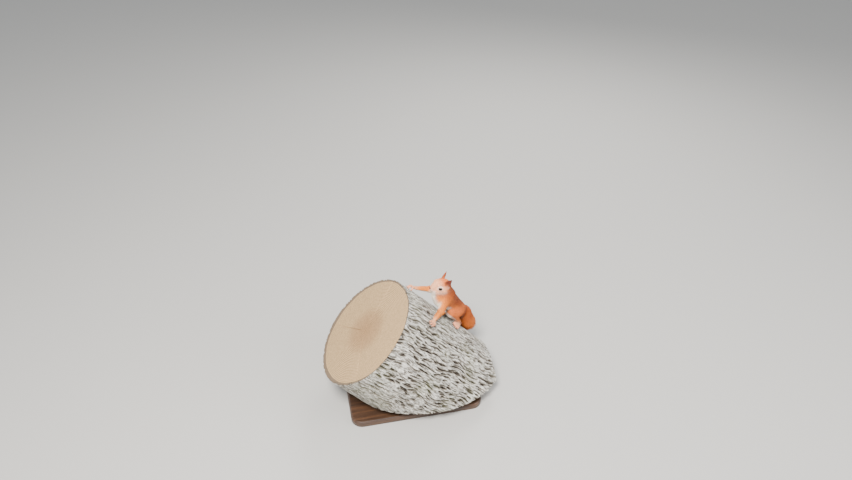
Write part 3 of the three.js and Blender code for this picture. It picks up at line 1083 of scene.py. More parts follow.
def grid_faces(rings: int, columns: int) -> Array:
    """Quads between closed rings of points that are stored ring by ring.

    Args:
        rings: How many rings there are.
        columns: Points in each.

    Returns:
        The quads.
    """
    r, c = np.arange(rings - 1)[:, None], np.arange(columns)[None, :]
    a, b = r * columns + c, r * columns + (c + 1) % columns
    return np.stack([a, b, b + columns, a + columns], -1).reshape(-1, 4)


def fan(hub: int, start: int, count: int, turn: int = 1) -> Array:
    """Triangles from one point to each side of a ring; `turn` is -1 to wind the other way.

    Args:
        hub: The one point's number.
        start: The ring's first point.
        count: Points in the ring.
        turn: Which way round.

    Returns:
        The triangles.
    """
    k = np.arange(count)
    side = (start + (k + 1) % count, start + k)
    return np.stack([np.full(count, hub), *side[::turn]], 1)


def capped(rings: int, columns: int, turn: int = 1) -> list[Array]:
    """Faces of closed rings of points, with the two ends' middle points stored after them.

    Args:
        rings: How many rings there are.
        columns: Points in each.
        turn: -1 to wind all faces the other way.

    Returns:
        The quads, and the triangles of both ends.
    """
    total = rings * columns
    return [grid_faces(rings, columns)[:, ::turn],
            np.vstack([fan(total, 0, columns, turn),
                       fan(total + 1, total - columns, columns, -turn)])]


def tube(path: Array, radii: Array, sides: int, upright: Array) -> Shape:
    """A closed round bar: a circle carried along a path, with a point at each end.

    Args:
        path: Points of the middle line.
        radii: The radius at each of them.
        sides: Points round the bar.
        upright: A direction that is never along the path.

    Returns:
        Points and faces.
    """
    along = unit(np.gradient(path, axis=0))
    across = unit(np.cross(upright, along))
    up = np.cross(along, across)
    angle = np.linspace(0, 2 * np.pi, sides, endpoint=False)[None, :, None]
    ring = across[:, None] * np.cos(angle) + up[:, None] * np.sin(angle)
    points = (path[:, None] + ring * np.asarray(radii)[:, None, None]).reshape(-1, 3)
    points = np.vstack([points, path[:1] - along[:1] * radii[0] * 0.5,
                        path[-1:] + along[-1:] * radii[-1] * 0.8])
    return points, capped(len(path), sides)


def gather(parts: list[Shape]) -> Shape:
    """Several meshes as one: their points in a row, and their faces by number of corners.

    Args:
        parts: The meshes.

    Returns:
        The joined mesh.
    """
    points, sorted_faces, start = [], {3: [], 4: []}, 0
    for at, faces in parts:
        for f in faces:
            sorted_faces[f.shape[1]].append(f + start)
        points.append(at)
        start += len(at)
    return np.vstack(points), [np.vstack(f) for f in sorted_faces.values() if f]


# ------------------------------------------------------------------ finishes

class Nodes:
    """A short hand for building one material's nodes."""

    def __init__(self, name: str) -> None:
        """Starts a material with a Principled shader.

        Args:
            name: The material's name.
        """
        self.material = bpy.data.materials.new(name)
        self.material.use_nodes = True
        self.tree = self.material.node_tree
        self.shader = self.tree.nodes["Principled BSDF"]

    def add(self, kind: str, settings: dict[str, object] | None = None,
            **inputs: object) -> Node:
        """Adds a node, sets its properties, and sets or links its inputs by name.

        Args:
            kind: The node's type.
            settings: Its properties by name.
            inputs: Values or sockets, with _ for a blank in a name.

        Returns:
            The node.
        """
        node = self.tree.nodes.new(kind)
        for key, value in (settings or {}).items():
            setattr(node, key, value)
        for key, value in inputs.items():
            self.feed(node, key.replace("_", " "), value)
        return node

    def feed(self, node: Node, name: str, value: object) -> None:
        """Sets or links one input; a name ending in a digit can pick the input by its place.

        Args:
            node: The node.
            name: The input's name.
            value: A socket, a number, a vector or a display colour.
        """
        socket = node.inputs[int(name[1:])] if name[1:].isdigit() else node.inputs[name]
        if isinstance(value, NodeSocket):
            self.tree.links.new(value, socket)
        elif socket.type == "RGBA":
            socket.default_value = (*srgb(*value), 1.0)
        else:
            socket.default_value = value

    def surface(self, **inputs: object) -> None:
        """Sets or links the shader's own inputs."""
        for key, value in inputs.items():
            self.feed(self.shader, key.replace("_", " "), value)

    def coordinates(self, scale: Triple = (1, 1, 1)) -> NodeSocket:
        """Object coordinates, stretched."""
        at = self.add("ShaderNodeTexCoord").outputs["Object"]
        return self.add("ShaderNodeMapping", Vector=at, Scale=scale).outputs["Vector"]

    def along_trunk(self, scale: Triple = (1, 1, 1), start: Triple = (0, 0, 0)) -> NodeSocket:
        """Object coordinates with x along the trunk, divided by a scale, measured from a place.

        Args:
            scale: How far the pattern is drawn out each way.
            start: Where it is measured from, in metres.

        Returns:
            The coordinates.
        """
        lean = math.radians(TRUNK.lean)
        turn = (0.0, math.atan2(-math.sin(lean), -math.cos(lean)), 0.0)
        at = self.add("ShaderNodeTexCoord").outputs["Object"]
        return self.add("ShaderNodeMapping", {"vector_type": "TEXTURE"}, Vector=at, Rotation=turn,
                        Scale=scale, Location=start).outputs["Vector"]

    def painted(self, name: str, output: str = "Fac") -> NodeSocket:
        """What is kept on each point of the piece under a name."""
        return self.add("ShaderNodeAttribute", {"attribute_name": name}).outputs[output]

    def noise(self, at: NodeSocket, scale: float, detail: float = 3.0,
              rough: float = 0.5) -> NodeSocket:
        """A noise texture's grey value."""
        return self.add("ShaderNodeTexNoise", Vector=at, Scale=scale, Detail=detail,
                        Roughness=rough).outputs["Fac"]

    def ramp(self, value: NodeSocket, stops: list[tuple[float, object]]) -> NodeSocket:
        """A colour ramp; each stop is a place and a grey, a display colour or a linear array.

        Args:
            value: What picks the colour.
            stops: The stops, in order.

        Returns:
            The colour.
        """
        node = self.add("ShaderNodeValToRGB", Fac=value)
        elements = node.color_ramp.elements
        while len(elements) < len(stops):
            elements.new(0.5)
        for element, (place, colour) in zip(elements, stops):
            element.position = place
            rgb = srgb(*colour) if isinstance(colour, tuple) else colour * np.ones(3)
            element.color = (*rgb, 1.0)
        return node.outputs["Color"]

    def mix(self, a: object, b: object, share: object, how: str = "MIX") -> NodeSocket:
        """Two colours mixed."""
        return self.add("ShaderNodeMix", {"data_type": "RGBA", "blend_type": how},
                        _0=share, _6=a, _7=b).outputs[2]

    def shade(self, colour: NodeSocket, value: NodeSocket, stops: list[tuple[float, object]],
              share: float = 1.0) -> NodeSocket:
        """A colour darkened and lightened by a ramp of a value."""
        return self.mix(colour, self.ramp(value, stops), share, "MULTIPLY")

    def bump(self, height: NodeSocket, depth: float, strength: float = 1.0) -> NodeSocket:
        """A bump normal; depth is in metres."""
        return self.add("ShaderNodeBump", Height=height, Distance=depth,
                        Strength=strength).outputs["Normal"]


@dataclass(frozen=True)
class HairFinish:
    """Hair, or flat fur and bare skin: the colour painted on each point, clouded.

    Args:
        name: The material's name.
        roughness: How dull it is.
        grain: How fine the clouding is.
        detail: How rough the clouding is.
        clouds: Two stops of the clouding's ramp.
        sheen: Strength of the velvety sheen.
        gloss: Strength of the plain reflection.
        nap: Depth of a fine relief, in metres.
    """

    name: str
    roughness: float
    grain: float
    detail: float
    clouds: tuple[Pair, Pair]
    sheen: float
    gloss: float
    nap: float = 0.0

    def make(self) -> Material:
        """Builds the material.

        Returns:
            The material.
        """
        n = Nodes(self.name)
        colour = n.painted("coat", "Color")
        cloud = n.noise(n.coordinates(), self.grain, 4, self.detail)
        n.surface(Base_Color=n.shade(colour, cloud, list(self.clouds)), Roughness=self.roughness,
                  Sheen_Weight=self.sheen, Sheen_Roughness=0.5, Specular_IOR_Level=self.gloss)
        if self.nap:
            n.surface(Normal=n.bump(cloud, self.nap, 0.6))
        return n.material


FUR = HairFinish("fur", 0.68, 380.0, 0.5, ((0.3, 0.82), (0.7, 1.1)), 0.04, 0.15)
SKIN = HairFinish("skin", 0.72, 1500.0, 0.6, ((0.25, 0.7), (0.75, 1.1)), 0.05, 0.3, 0.0004)


@dataclass(frozen=True)
class EyeFinish:
    """A wet dark eye: deep brown round a black pupil, under a clear coat."""

    name: str = "eye_wet_dark"
    iris: Triple = (46, 24, 14)

    def make(self) -> Material:
        """Builds the material.

        Returns:
            The material.
        """
        n = Nodes(self.name)
        colour = n.ramp(n.painted("iris"), [(0.0, 0.002), (0.35, 0.003), (0.5, self.iris),
                                            (0.8, self.iris), (1.0, 0.004)])
        n.surface(Base_Color=colour, Roughness=0.16, Specular_IOR_Level=0.15, Coat_Weight=0.28,
                  Coat_Roughness=0.02)
        return n.material


@dataclass(frozen=True)
class HornFinish:
    """Claws, nose leather and whiskers: one tone, clouded a little."""

    name: str
    tone: Triple
    roughness: float
    grain: float = 900.0
    relief: float = 0.0001

    def make(self) -> Material:
        """Builds the material.

        Returns:
            The material.
        """
        n = Nodes(self.name)
        cloud = n.noise(n.coordinates(), self.grain, 3)
        low, high = srgb(*self.tone) * 0.7, srgb(*self.tone) * 1.25
        n.surface(Base_Color=n.ramp(cloud, [(0.3, low), (0.7, high)]), Roughness=self.roughness,
                  Normal=n.bump(cloud, self.relief, 0.5))
        return n.material


@dataclass(frozen=True)
class BarkFinish:
    """Weathered grey bark: pale ridges, dark furrows, fine fibres along the trunk."""

    name: str = "bark_weathered"
    ridge: Triple = (230, 226, 216)
    flank: Triple = (160, 151, 138)
    crack: Triple = (52, 43, 36)
    algae: Triple = (150, 158, 112)

    def make(self) -> Material:
        """Builds the material.

        Returns:
            The material.
        """
        n = Nodes(self.name)
        along = n.along_trunk((7, 1, 1))
        fibre, flakes = n.noise(along, 900, 6, 0.68), n.noise(along, 260, 5, 0.62)
        plates = n.add("ShaderNodeTexVoronoi", {"feature": "DISTANCE_TO_EDGE"}, Vector=along,
                       Scale=330, Randomness=1.0).outputs["Distance"]
        cracks = n.ramp(plates, [(0.0, 0.0), (0.09, 0.8), (0.25, 1.0)])
        colour = n.ramp(n.painted("ridge"), [(0.0, self.crack), (0.5, srgb(*self.flank) * 0.7),
                                             (0.78, self.flank), (0.98, self.ridge)])
        for value, stops, share in (
                (fibre, [(0.36, 0.42), (0.56, 1.0), (0.7, 1.2)], 0.9),
                (flakes, [(0.34, 0.6), (0.6, 1.1)], 1.0),
                (n.noise(along, 60, 3, 0.5), [(0.3, 0.82), (0.7, 1.1)], 1.0),
                (cracks, [(0.0, 0.35), (0.8, 1.0)], 0.75)):
            colour = n.shade(colour, value, stops, share)
        patch = n.ramp(n.noise(n.coordinates(), 14, 3), [(0.5, 0.0), (0.72, 0.4)])
        colour = n.mix(colour, n.mix(colour, self.algae, 0.4), patch)
        rough = n.mix(n.mix(fibre, flakes, 0.5), cracks, 0.4)
        n.surface(Base_Color=colour, Roughness=0.92, Normal=n.bump(rough, 0.0035, 1.0),
                  Specular_IOR_Level=0.2)
        return n.material


@dataclass(frozen=True)
class SawnFinish:
    """A sawn trunk end: growth rings round the axis, with a rim of brown bark."""

    name: str = "sawn_wood"
    early: Triple = (182, 152, 110)
    late: Triple = (138, 106, 70)
    heart: Triple = (134, 98, 62)
    rim: Triple = (112, 94, 74)
    radius: float = 0.135
    rim_from: float = 0.124
    rim_blur: float = 0.012
    ring: float = 0.0034
    waver: float = 0.006

    def make(self) -> Material:
        """Builds the material.

        Returns:
            The material.
        """
        n = Nodes(self.name)
        along = n.along_trunk(start=tuple(TRUNK.grip() * MM))
        wavy = n.add("ShaderNodeTexNoise", Vector=along, Scale=16, Detail=2).outputs["Color"]
        bent = n.add("ShaderNodeMix", {"data_type": "VECTOR"}, _0=self.waver, _4=along, _5=wavy)
        flat = n.add("ShaderNodeVectorMath", {"operation": "MULTIPLY"}, _0=bent.outputs[1],
                     _1=(0, 1, 1)).outputs[0]
        radius = n.add("ShaderNodeVectorMath", {"operation": "LENGTH"}, _0=flat).outputs["Value"]
        phase = n.add("ShaderNodeMath", {"operation": "MULTIPLY"}, _0=radius,
                      _1=2 * math.pi / self.ring).outputs[0]
        rings = n.add("ShaderNodeMath", {"operation": "SINE"}, _0=phase).outputs[0]
        colour = n.ramp(rings, [(0.1, self.early), (0.95, self.late)])
        share = n.add("ShaderNodeMapRange", Value=radius, From_Max=self.radius).outputs[0]
        colour = n.mix(colour, self.heart, n.ramp(share, [(0.0, 0.7), (0.3, 0.45), (0.46, 0.0)]))
        rim = self.rim_from / self.radius
        grain = n.noise(along, 420, 5, 0.65)
        colour = n.mix(colour, self.rim, n.ramp(share, [(rim - self.rim_blur, 0.0), (rim, 1.0)]))
        n.surface(Base_Color=n.shade(colour, grain, [(0.3, 0.66), (0.66, 1.1)]), Roughness=0.82,
                  Normal=n.bump(grain, 0.0006, 0.7))
        return n.material


@dataclass(frozen=True)
class VarnishFinish:
    """Dark stained hardwood with a satin varnish, its grain along x."""

    name: str = "base_varnish"
    dark: Triple = (38, 26, 19)
    light: Triple = (82, 56, 38)

    def make(self) -> Material:
        """Builds the material.

        Returns:
            The material.
        """
        n = Nodes(self.name)
        figure = n.noise(n.coordinates((1, 14, 14)), 9, 6, 0.62)
        pores = n.noise(n.coordinates((6, 90, 90)), 22, 2, 0.5)
        colour = n.shade(n.ramp(figure, [(0.32, self.dark), (0.68, self.light)]), pores,
                         [(0.34, 0.45), (0.46, 1.0)])
        n.surface(Base_Color=colour, Roughness=0.42, Normal=n.bump(pores, 0.0002, 0.3),
                  Coat_Weight=0.35, Coat_Roughness=0.18)
        return n.material


@dataclass(frozen=True)
class SteelFinish:
    """Turned steel with fine marks round the rod."""

    name: str = "rod_steel"
    dark: Triple = (150, 150, 152)
    light: Triple = (186, 186, 188)

    def make(self) -> Material:
        """Builds the material.

        Returns:
            The material.
        """
        n = Nodes(self.name)
        marks = n.noise(n.coordinates((1, 1, 60)), 60, 4, 0.6)
        n.surface(Base_Color=n.ramp(marks, [(0.3, self.dark), (0.7, self.light)]),
                  Metallic=1.0, Roughness=0.34, Normal=n.bump(marks, 0.0001, 0.4))
        return n.material


@dataclass(frozen=True)
class FloorFinish:
    """A plain pale matt floor."""

    name: str = "studio_floor"
    tone: Triple = (168, 166, 162)

    def make(self) -> Material:
        """Builds the material.

        Returns:
            The material.
        """
        n = Nodes(self.name)
        n.surface(Base_Color=self.tone, Roughness=0.9)
        return n.material


# ------------------------------------------------------------------ stand and perch

@dataclass
class Stand:
    """The flat base and its two short rods.

    Args:
        corner: Radius of the base's corners.
        corner_points: Points on each of them.
        collar: Radius of a rod's collar.
        collar_high: Its height over the base.
        rod_sides: Points round a rod.
    """

    corner: float = 26.0
    corner_points: int = 14
    collar: float = 11.0
    collar_high: float = 3.0
    rod_sides: int = 48

    def base(self) -> Object:
        """The base: a rounded outline carried through an edge profile with a small ovolo.

        Returns:
            The finished piece.
        """
        low, high = (np.array(v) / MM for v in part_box("stand_base"))
        half, top = (high - low)[:2] / 2, high[2]
        profile = [(1.6, 0.0), (0.5, 0.5), (0.0, 1.6), (0.0, top - 5.0), (0.4, top - 3.4),
                   (1.3, top - 2.2), (2.2, top - 1.9), (2.3, top - 1.1), (3.0, top - 0.35),
                   (4.0, top)]
        angle = np.concatenate([np.linspace(0, 90, self.corner_points) + 90 * k for k in range(4)])
        quarter = np.repeat(np.arange(4), self.corner_points)
        sign = np.array([[1, 1], [-1, 1], [-1, -1], [1, -1]])[quarter]
        ray = np.stack([np.cos(np.radians(angle)), np.sin(np.radians(angle))], 1)
        rings = []
        for inset, z in profile:
            edge = sign * (half - self.corner) + ray * (self.corner - inset)
            rings.append(np.concatenate([edge, np.full((len(edge), 1), z)], 1))
        points = np.vstack(rings + [[[0, 0, profile[0][1]], [0, 0, top]]])
        points[:, :2] += (low + high)[:2] / 2
        piece = add_mesh("stand_base_moulded", points, capped(len(profile), len(angle)),
                         [VarnishFinish().make()], smooth=False)
        settle(piece, "base", ["stand_base"])
        return piece

    def rod(self, end: str, finish: Material) -> Object:
        """A rod: a turned profile of radius and height, with a collar where it meets the base.

        Args:
            end: Which rod, as in its node's name.
            finish: Its material.

        Returns:
            The finished piece.
        """
        low, high = (np.array(v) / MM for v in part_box(f"stand_rod_{end}"))
        centre, radius = (low + high)[:2] / 2, (high - low)[0] / 2
        base_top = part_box("stand_base")[1].z / MM
        c, h = self.collar, base_top + self.collar_high
        profile = np.array([(0.01, low[2]), (radius, low[2]), (radius, base_top - 0.5),
                            (c, base_top - 0.5), (c, h - 0.8), (c - 0.8, h), (radius + 0.3, h),
                            (radius, h + 0.3), (radius, high[2]), (0.01, high[2])])
        angle = np.linspace(0, 2 * np.pi, self.rod_sides, endpoint=False)
        ring = np.stack([np.cos(angle), np.sin(angle)], 1)
        rings = [np.concatenate([centre + ring * r, np.full((self.rod_sides, 1), z)], 1)
                 for r, z in profile]
        points = np.vstack(rings + [rings[0].mean(0), rings[-1].mean(0)])
        piece = add_mesh(f"stand_rod_{end}_turned", points, capped(len(profile), self.rod_sides),
                         [finish], smooth=False)
        settle(piece, "steel", [f"stand_rod_{end}"])
        return piece

    def build(self) -> None:
        """Makes the base and both rods."""
        self.base()
        steel = SteelFinish().make()
        for end in ("front", "rear"):
            self.rod(end, steel)


@dataclass
class Perch:
    """The cut trunk section: furrowed bark, a square upper cut, a level foot, an upright toe.

    Args:
        columns: Points round the trunk.
        rings: Rings along the bark.
        cap_rings: Steps from the upper cut's rim to its middle.
        spacing: A furrow's room round the trunk and along it.
        lens: A furrow's half width and half length.
        furrow: Depth of the coarse furrows.
        skew: How far furrows move round the trunk for each millimetre up.
        beyond: How far the bark runs past the two lower cuts before it is sawn.
        least: Least length of bark under the upper cut.
        cracks: Each drying crack's angle, depth, and start and end on the way from rim to middle.
        crack_wide: Half width of a drying crack in degrees.
        lattice: Rows of furrows before their pattern repeats.
        seed: Seeds the furrows.
    """

    columns: int = 850
    rings: int = 112
    cap_rings: int = 7
    spacing: Pair = (7.0, 19.0)
    lens: Pair = (2.25, 12.5)
    furrow: float = 4.6
    skew: float = 0.1
    beyond: float = 9.0
    least: float = 40.0
    cracks: tuple[tuple[float, ...], ...] = ((34, 3.2, 0.0, 0.7), (131, 2.2, 0.3, 1.0),
                                             (247, 3.0, 0.1, 0.95))
    crack_wide: float = 0.45
    lattice: int = 20
    seed: int = 11

    def furrows(self, along: Array, arc: Array, cells_round: int, seed: int) -> Array:
        """How far inside a furrow each point lies, from 0 outside to 1 on its middle line.

        Furrows are pointed ovals, long along the trunk, round seeded points of a lattice whose
        rows are set off by half a cell. Each has its own size, and where two meet the deeper
        one counts.

        Args:
            along: Way up the trunk, in cells.
            arc: Way round the trunk, in cells.
            cells_round: Cells in a whole turn.
            seed: Picks the places and sizes.

        Returns:
            The share for each point.
        """
        rng = np.random.default_rng(seed)
        jitter = rng.uniform(-0.4, 0.4, (self.lattice, cells_round, 2))
        size = rng.uniform(0.55, 1.35, (self.lattice, cells_round, 2)) * rng.choice(
            [0.55, 1.0, 1.0, 1.15], (self.lattice, cells_round, 1))
        iu, iv = np.floor(arc).astype(int), np.floor(along).astype(int)
        half_wide, half_long = self.lens[0] / self.spacing[0], self.lens[1] / self.spacing[1]
        best = np.zeros(arc.shape)
        for dv in (-1, 0, 1):
            for du in (-1, 0, 1):
                cu, cv = iu + du, iv + dv
                at = cv % self.lattice, cu % cells_round
                x = arc - (cu + 0.5 * (cv % 2) + 0.5 + jitter[at][..., 0])
                y = along - (cv + 0.5 + jitter[at][..., 1])
                wide, tall = half_wide * size[at][..., 0], half_long * size[at][..., 1]
                inside = 1 - np.abs(x) / wide - (y / tall) ** 2
                best = np.maximum(best, inside * np.minimum(size[at][..., 0], 1.0))
        return best

    def relief(self, along: Array, around: Array) -> tuple[Array, Array]:
        """How deep the bark's surface lies under its ridge line, and its ridge share.

        Two nets of furrows, coarse and fine, cut the ridges; waves bend the nets and roughen
        the ridges' tops.

        Args:
            along: Way up the trunk in millimetres.
            around: Angle round it in degrees.

        Returns:
            The depths, and shares from 0 in a furrow to 1 on a ridge.
        """
        count = int(round(2 * math.pi * TRUNK.radius / self.spacing[0]))
        place = np.stack([along, TRUNK.radius * np.cos(np.radians(around)),
                          TRUNK.radius * np.sin(np.radians(around))], -1).reshape(-1, 3)

        def wave(seed: int, length: float, stretch: float) -> Array:
            """Waves over the bark, longer along the trunk by a factor."""
            return Ripple(seed, length, 20).at(place / [stretch, 1, 1]).reshape(along.shape)

        bend, kink = wave(3, 62, 1.6), wave(4, 17, 2.2)
        twist = self.skew * along + 3.8 * bend + 1.3 * kink + 0.3 * wave(9, 7.5, 1.6)
        arc = around / 360 * count + twist / self.spacing[0]
        rise = along / self.spacing[1] + 12 + 0.22 * wave(7, 24, 1.0)
        deep = self.furrows(rise, arc, count, self.seed)
        fine = self.furrows(rise * 1.9 + 5, arc * 2.0, 2 * count, self.seed + 1)
        rough, fleck = wave(5, 5.2, 3.2), wave(6, 2.9, 2.4)
        step = ease(0.0, 0.62, deep + 0.16 * rough * (deep > 0))
        nick = ease(0.1, 0.8, fine)
        plate = wave(8, 11, 2.6)
        depth = (self.furrow * step * (0.75 + 0.35 * bend) + 0.9 * nick + 0.5 * plate + 0.4
                 + 0.3 * rough + 0.2 * fleck)
        return np.maximum(depth, 0.0), np.clip(1 - step - 0.4 * nick + 0.08 * rough, 0, 1)

    def build(self) -> None:
        """Makes the bark on a grid of angle and length, then saws it to the section's planes."""
        axes, grip = TRUNK.axes(), TRUNK.grip()
        low_corner, high_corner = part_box("perch_trunk_section")
        foot, toe = low_corner.z / MM, high_corner.x / MM
        around = np.linspace(0, 360, self.columns, endpoint=False)
        radial = TRUNK.outward(around)
        out = radial @ axes
        low = np.maximum((foot - grip[2] - TRUNK.radius * out[:, 2]) / axes[0][2],
                         (toe - grip[0] - TRUNK.radius * out[:, 0]) / axes[0][0]) - self.beyond
        low = np.minimum(low, TRUNK.upper_cut - self.least)
        share = np.linspace(0, 1, self.rings)[:, None]
        along = low + (TRUNK.upper_cut - low) * share
        deep, ridge = self.relief(along, around + 0 * along)
        reach = TRUNK.bark(along, around) - deep
        shell = np.stack([along, reach * radial[:, 1], reach * radial[:, 2] - TRUNK.radius], -1)
        hub = np.array([TRUNK.upper_cut, 0, -TRUNK.radius])
        steps = np.linspace(0, 1, self.cap_rings + 1)[1:-1, None, None]
        inner = shell[-1] + (hub - shell[-1]) * steps
        inner[..., 0] -= self.drying(around, steps[:, :, 0])
        points = np.concatenate([shell.reshape(-1, 3), inner.reshape(-1, 3),
                                 [hub, shell[0].mean(0)]])
        c, levels = self.columns, self.rings + len(steps)
        sides = grid_faces(levels, c)
        ends = [fan(levels * c, (levels - 1) * c, c, -1), fan(levels * c + 1, 0, c)]
        slots = np.concatenate([np.arange(len(sides)) >= (self.rings - 1) * c, np.ones(c),
                                np.zeros(c)])
        piece = add_mesh("perch_trunk", TRUNK.world(points), [sides, np.vstack(ends)],
                         [BarkFinish().make(), SawnFinish().make()], slots)
        mark(piece, "ridge", np.concatenate([ridge.ravel(), np.zeros(inner.size // 3 + 2)]))
        self.saw(piece, foot, toe)
        settle(piece, "bark", ["perch_trunk_section"])

    def drying(self, around: Array, inward: Array) -> Array:
        """Depth of the drying cracks that run in from the rim of the sawn end.

        Args:
            around: Angles round the end.
            inward: Share of the way from the rim to the middle.

        Returns:
            The depth at each angle and share.
        """
        total = np.zeros((len(inward), len(around)))
        for centre, depth, start, end in self.cracks:
            wedge = np.abs((around - centre + 180) % 360 - 180) * (1 - inward * 0.7)
            reach = ease(start - 0.1, start + 0.15, inward) * ease(end + 0.1, end - 0.2, inward)
            total += depth * np.exp(-(wedge / self.crack_wide) ** 2) * reach
        return total

    def saw(self, piece: Object, foot: float, toe: float) -> None:
        """Cuts the section level at its foot and upright at its toe, and closes the cuts.

        Args:
            piece: The bark and its upper end.
            foot: Height of the level cut.
            toe: Place of the upright cut along x.
        """
        mesh = bmesh.new()
        mesh.from_mesh(piece.data)
        for at, normal in (((0, 0, foot * MM), (0, 0, -1)), ((toe * MM, 0, 0), (1, 0, 0))):
            everything = mesh.verts[:] + mesh.edges[:] + mesh.faces[:]
            bmesh.ops.bisect_plane(mesh, geom=everything, plane_co=at, plane_no=normal,
                                   clear_outer=True, dist=1e-7)
            rim = [e for e in mesh.edges if e.is_boundary]
            made = bmesh.ops.edgeloop_fill(mesh, edges=rim)["faces"]
            for face in made:
                face.material_index, face.smooth = 1, False
            bmesh.ops.recalc_face_normals(mesh, faces=made)
        for edge in mesh.edges:
            if len({f.material_index for f in edge.link_faces}) > 1:
                edge.smooth = False
        mesh.to_mesh(piece.data)
        mesh.free()


# ------------------------------------------------------------------ skin

@dataclass
class FaceWork:
    """The face's features, joined to and carved from the head.

    Places are back from the nose tip, out to the side and up, in millimetres. A swelling is an
    ellipsoid's place, its radii and how broad its join is.
    """

    chin: Swelling = ((6.4, 0, -6.3), (4.4, 3.4, 2.4), 2.0)
    cheek: Swelling = ((15.5, 9.2, -3.6), (8.5, 5.4, 6.6), 5.0)
    whisker_pad: Swelling = ((4.8, 2.9, -1.6), (3.9, 2.9, 2.7), 2.2)
    brow: Swelling = ((17.5, 8.6, 12.8), (7.0, 3.4, 3.0), 4.0)
    temple: Swelling = ((29, 11.5, 3), (8.5, 6.0, 9.5), 5.0)
    eye: float = 4.2
    lid: float = 0.95
    eye_room: float = 0.12
    nose_place: Triple = (0.8, 0, 0.6)
    nose: Triple = (2.3, 2.75, 2.15)
    jaw_radii: Triple = (2.6, 1.9, 1.2)

    def build(self, block: Block) -> None:
        """Adds cheeks, whisker pads, chin, brows, lids, mouth line and ear dishes.

        Args:
            block: The block that holds the head.
        """
        axes = FACE.axes()
        self.swell(block, self.chin, 1)
        for side in Side:
            mirror = [1, side.value, 1]
            for swelling in (self.cheek, self.whisker_pad, self.brow, self.temple):
                self.swell(block, swelling, side.value)
            self.eyelids(block, side)
            self.dish(block, side)
            mouth = spline(np.array(ANATOMY.mouth), 41) * mirror
            for k, t in enumerate(np.linspace(0.25, 1.0, 8)):
                at = FACE.point(*mouth[int(40 * t)])
                block.carve(*block.ellipsoid(at, axes, (1.0, 1.0, 0.5 - 0.02 * k)), 0.5)
            jaw = spline(np.array(ANATOMY.jaw), 9) * mirror
            for t, at in zip(np.linspace(0, 1, 9), jaw):
                radii = np.array(self.jaw_radii) * (1 - 0.55 * t) * ANATOMY.jaw_fold[side]
                block.carve(*block.ellipsoid(FACE.point(*at), axes, radii), 2.2)
        block.carve(*block.ellipsoid(FACE.point(*self.nose_place), axes, self.nose), 0.5)

    def swell(self, block: Block, swelling: Swelling, sign: int) -> None:
        """Joins a swelling to the head; the sign is that of its side."""
        (back, out, up), radii, soft = swelling
        block.blend(*block.ellipsoid(FACE.point(back, sign * out, up), FACE.axes(), radii), soft)

    def eyelids(self, block: Block, side: Side) -> None:
        """Lids that hug the eyeball: a shell round it, its room, and an oval opening.

        Args:
            block: The block that holds the head.
            side: Which eye.
        """
        centre = ANATOMY.eye(side)
        where = block.window(centre - 9, centre + 9)
        points = block.points(where)
        reach = np.linalg.norm(points - centre, axis=-1)
        block.blend(where, (reach - self.eye - self.lid).astype(np.float32), 2.2)
        block.carve(where, (reach - self.eye - self.eye_room).astype(np.float32), 0.1)
        q = (points - centre) @ eye_frame(side).T
        oval = (lid_reach(points, side) - 1) * np.mean(ANATOMY.lid_opening)
        block.carve(where, np.where(q[..., 0] > 0.5, oval, 9.0).astype(np.float32), 0.5)

    def dish(self, block: Block, side: Side) -> None:
        """Hollows the front of an ear.

        Args:
            block: The block that holds the head.
            side: Which ear.
        """
        loft = ANATOMY.ear_loft(side, ANATOMY.ear_dish, ANATOMY.ear_wall, -ANATOMY.ear_dish)
        s = loft.samples
        reach = s["size"].max() + s["dome"].max() + 2
        where = block.window(s["at"].min(0) - reach, s["at"].max(0) + reach)
        points = block.points(where)
        hollow, _ = loft.nearest(points.reshape(-1, 3))
        block.carve(where, hollow.reshape(points.shape[:3]).astype(np.float32), 0.8)


@dataclass
class Coat:
    """What the coat does at each point of the skin.

    Args:
        flow: Unit direction in which the hair lies.
        length: Tuft length.
        lift: Degrees off the skin.
        width: Tuft width.
        dense: Tufts for each square millimetre.
        region: The strongest region's number.
        along: Share of the way along that region's path.
        around: Share of the way round it.
        colour: Linear colour.
    """

    flow: Array
    length: Array
    lift: Array
    width: Array
    dense: Array
    region: Array
    along: Array
    around: Array
    colour: Array


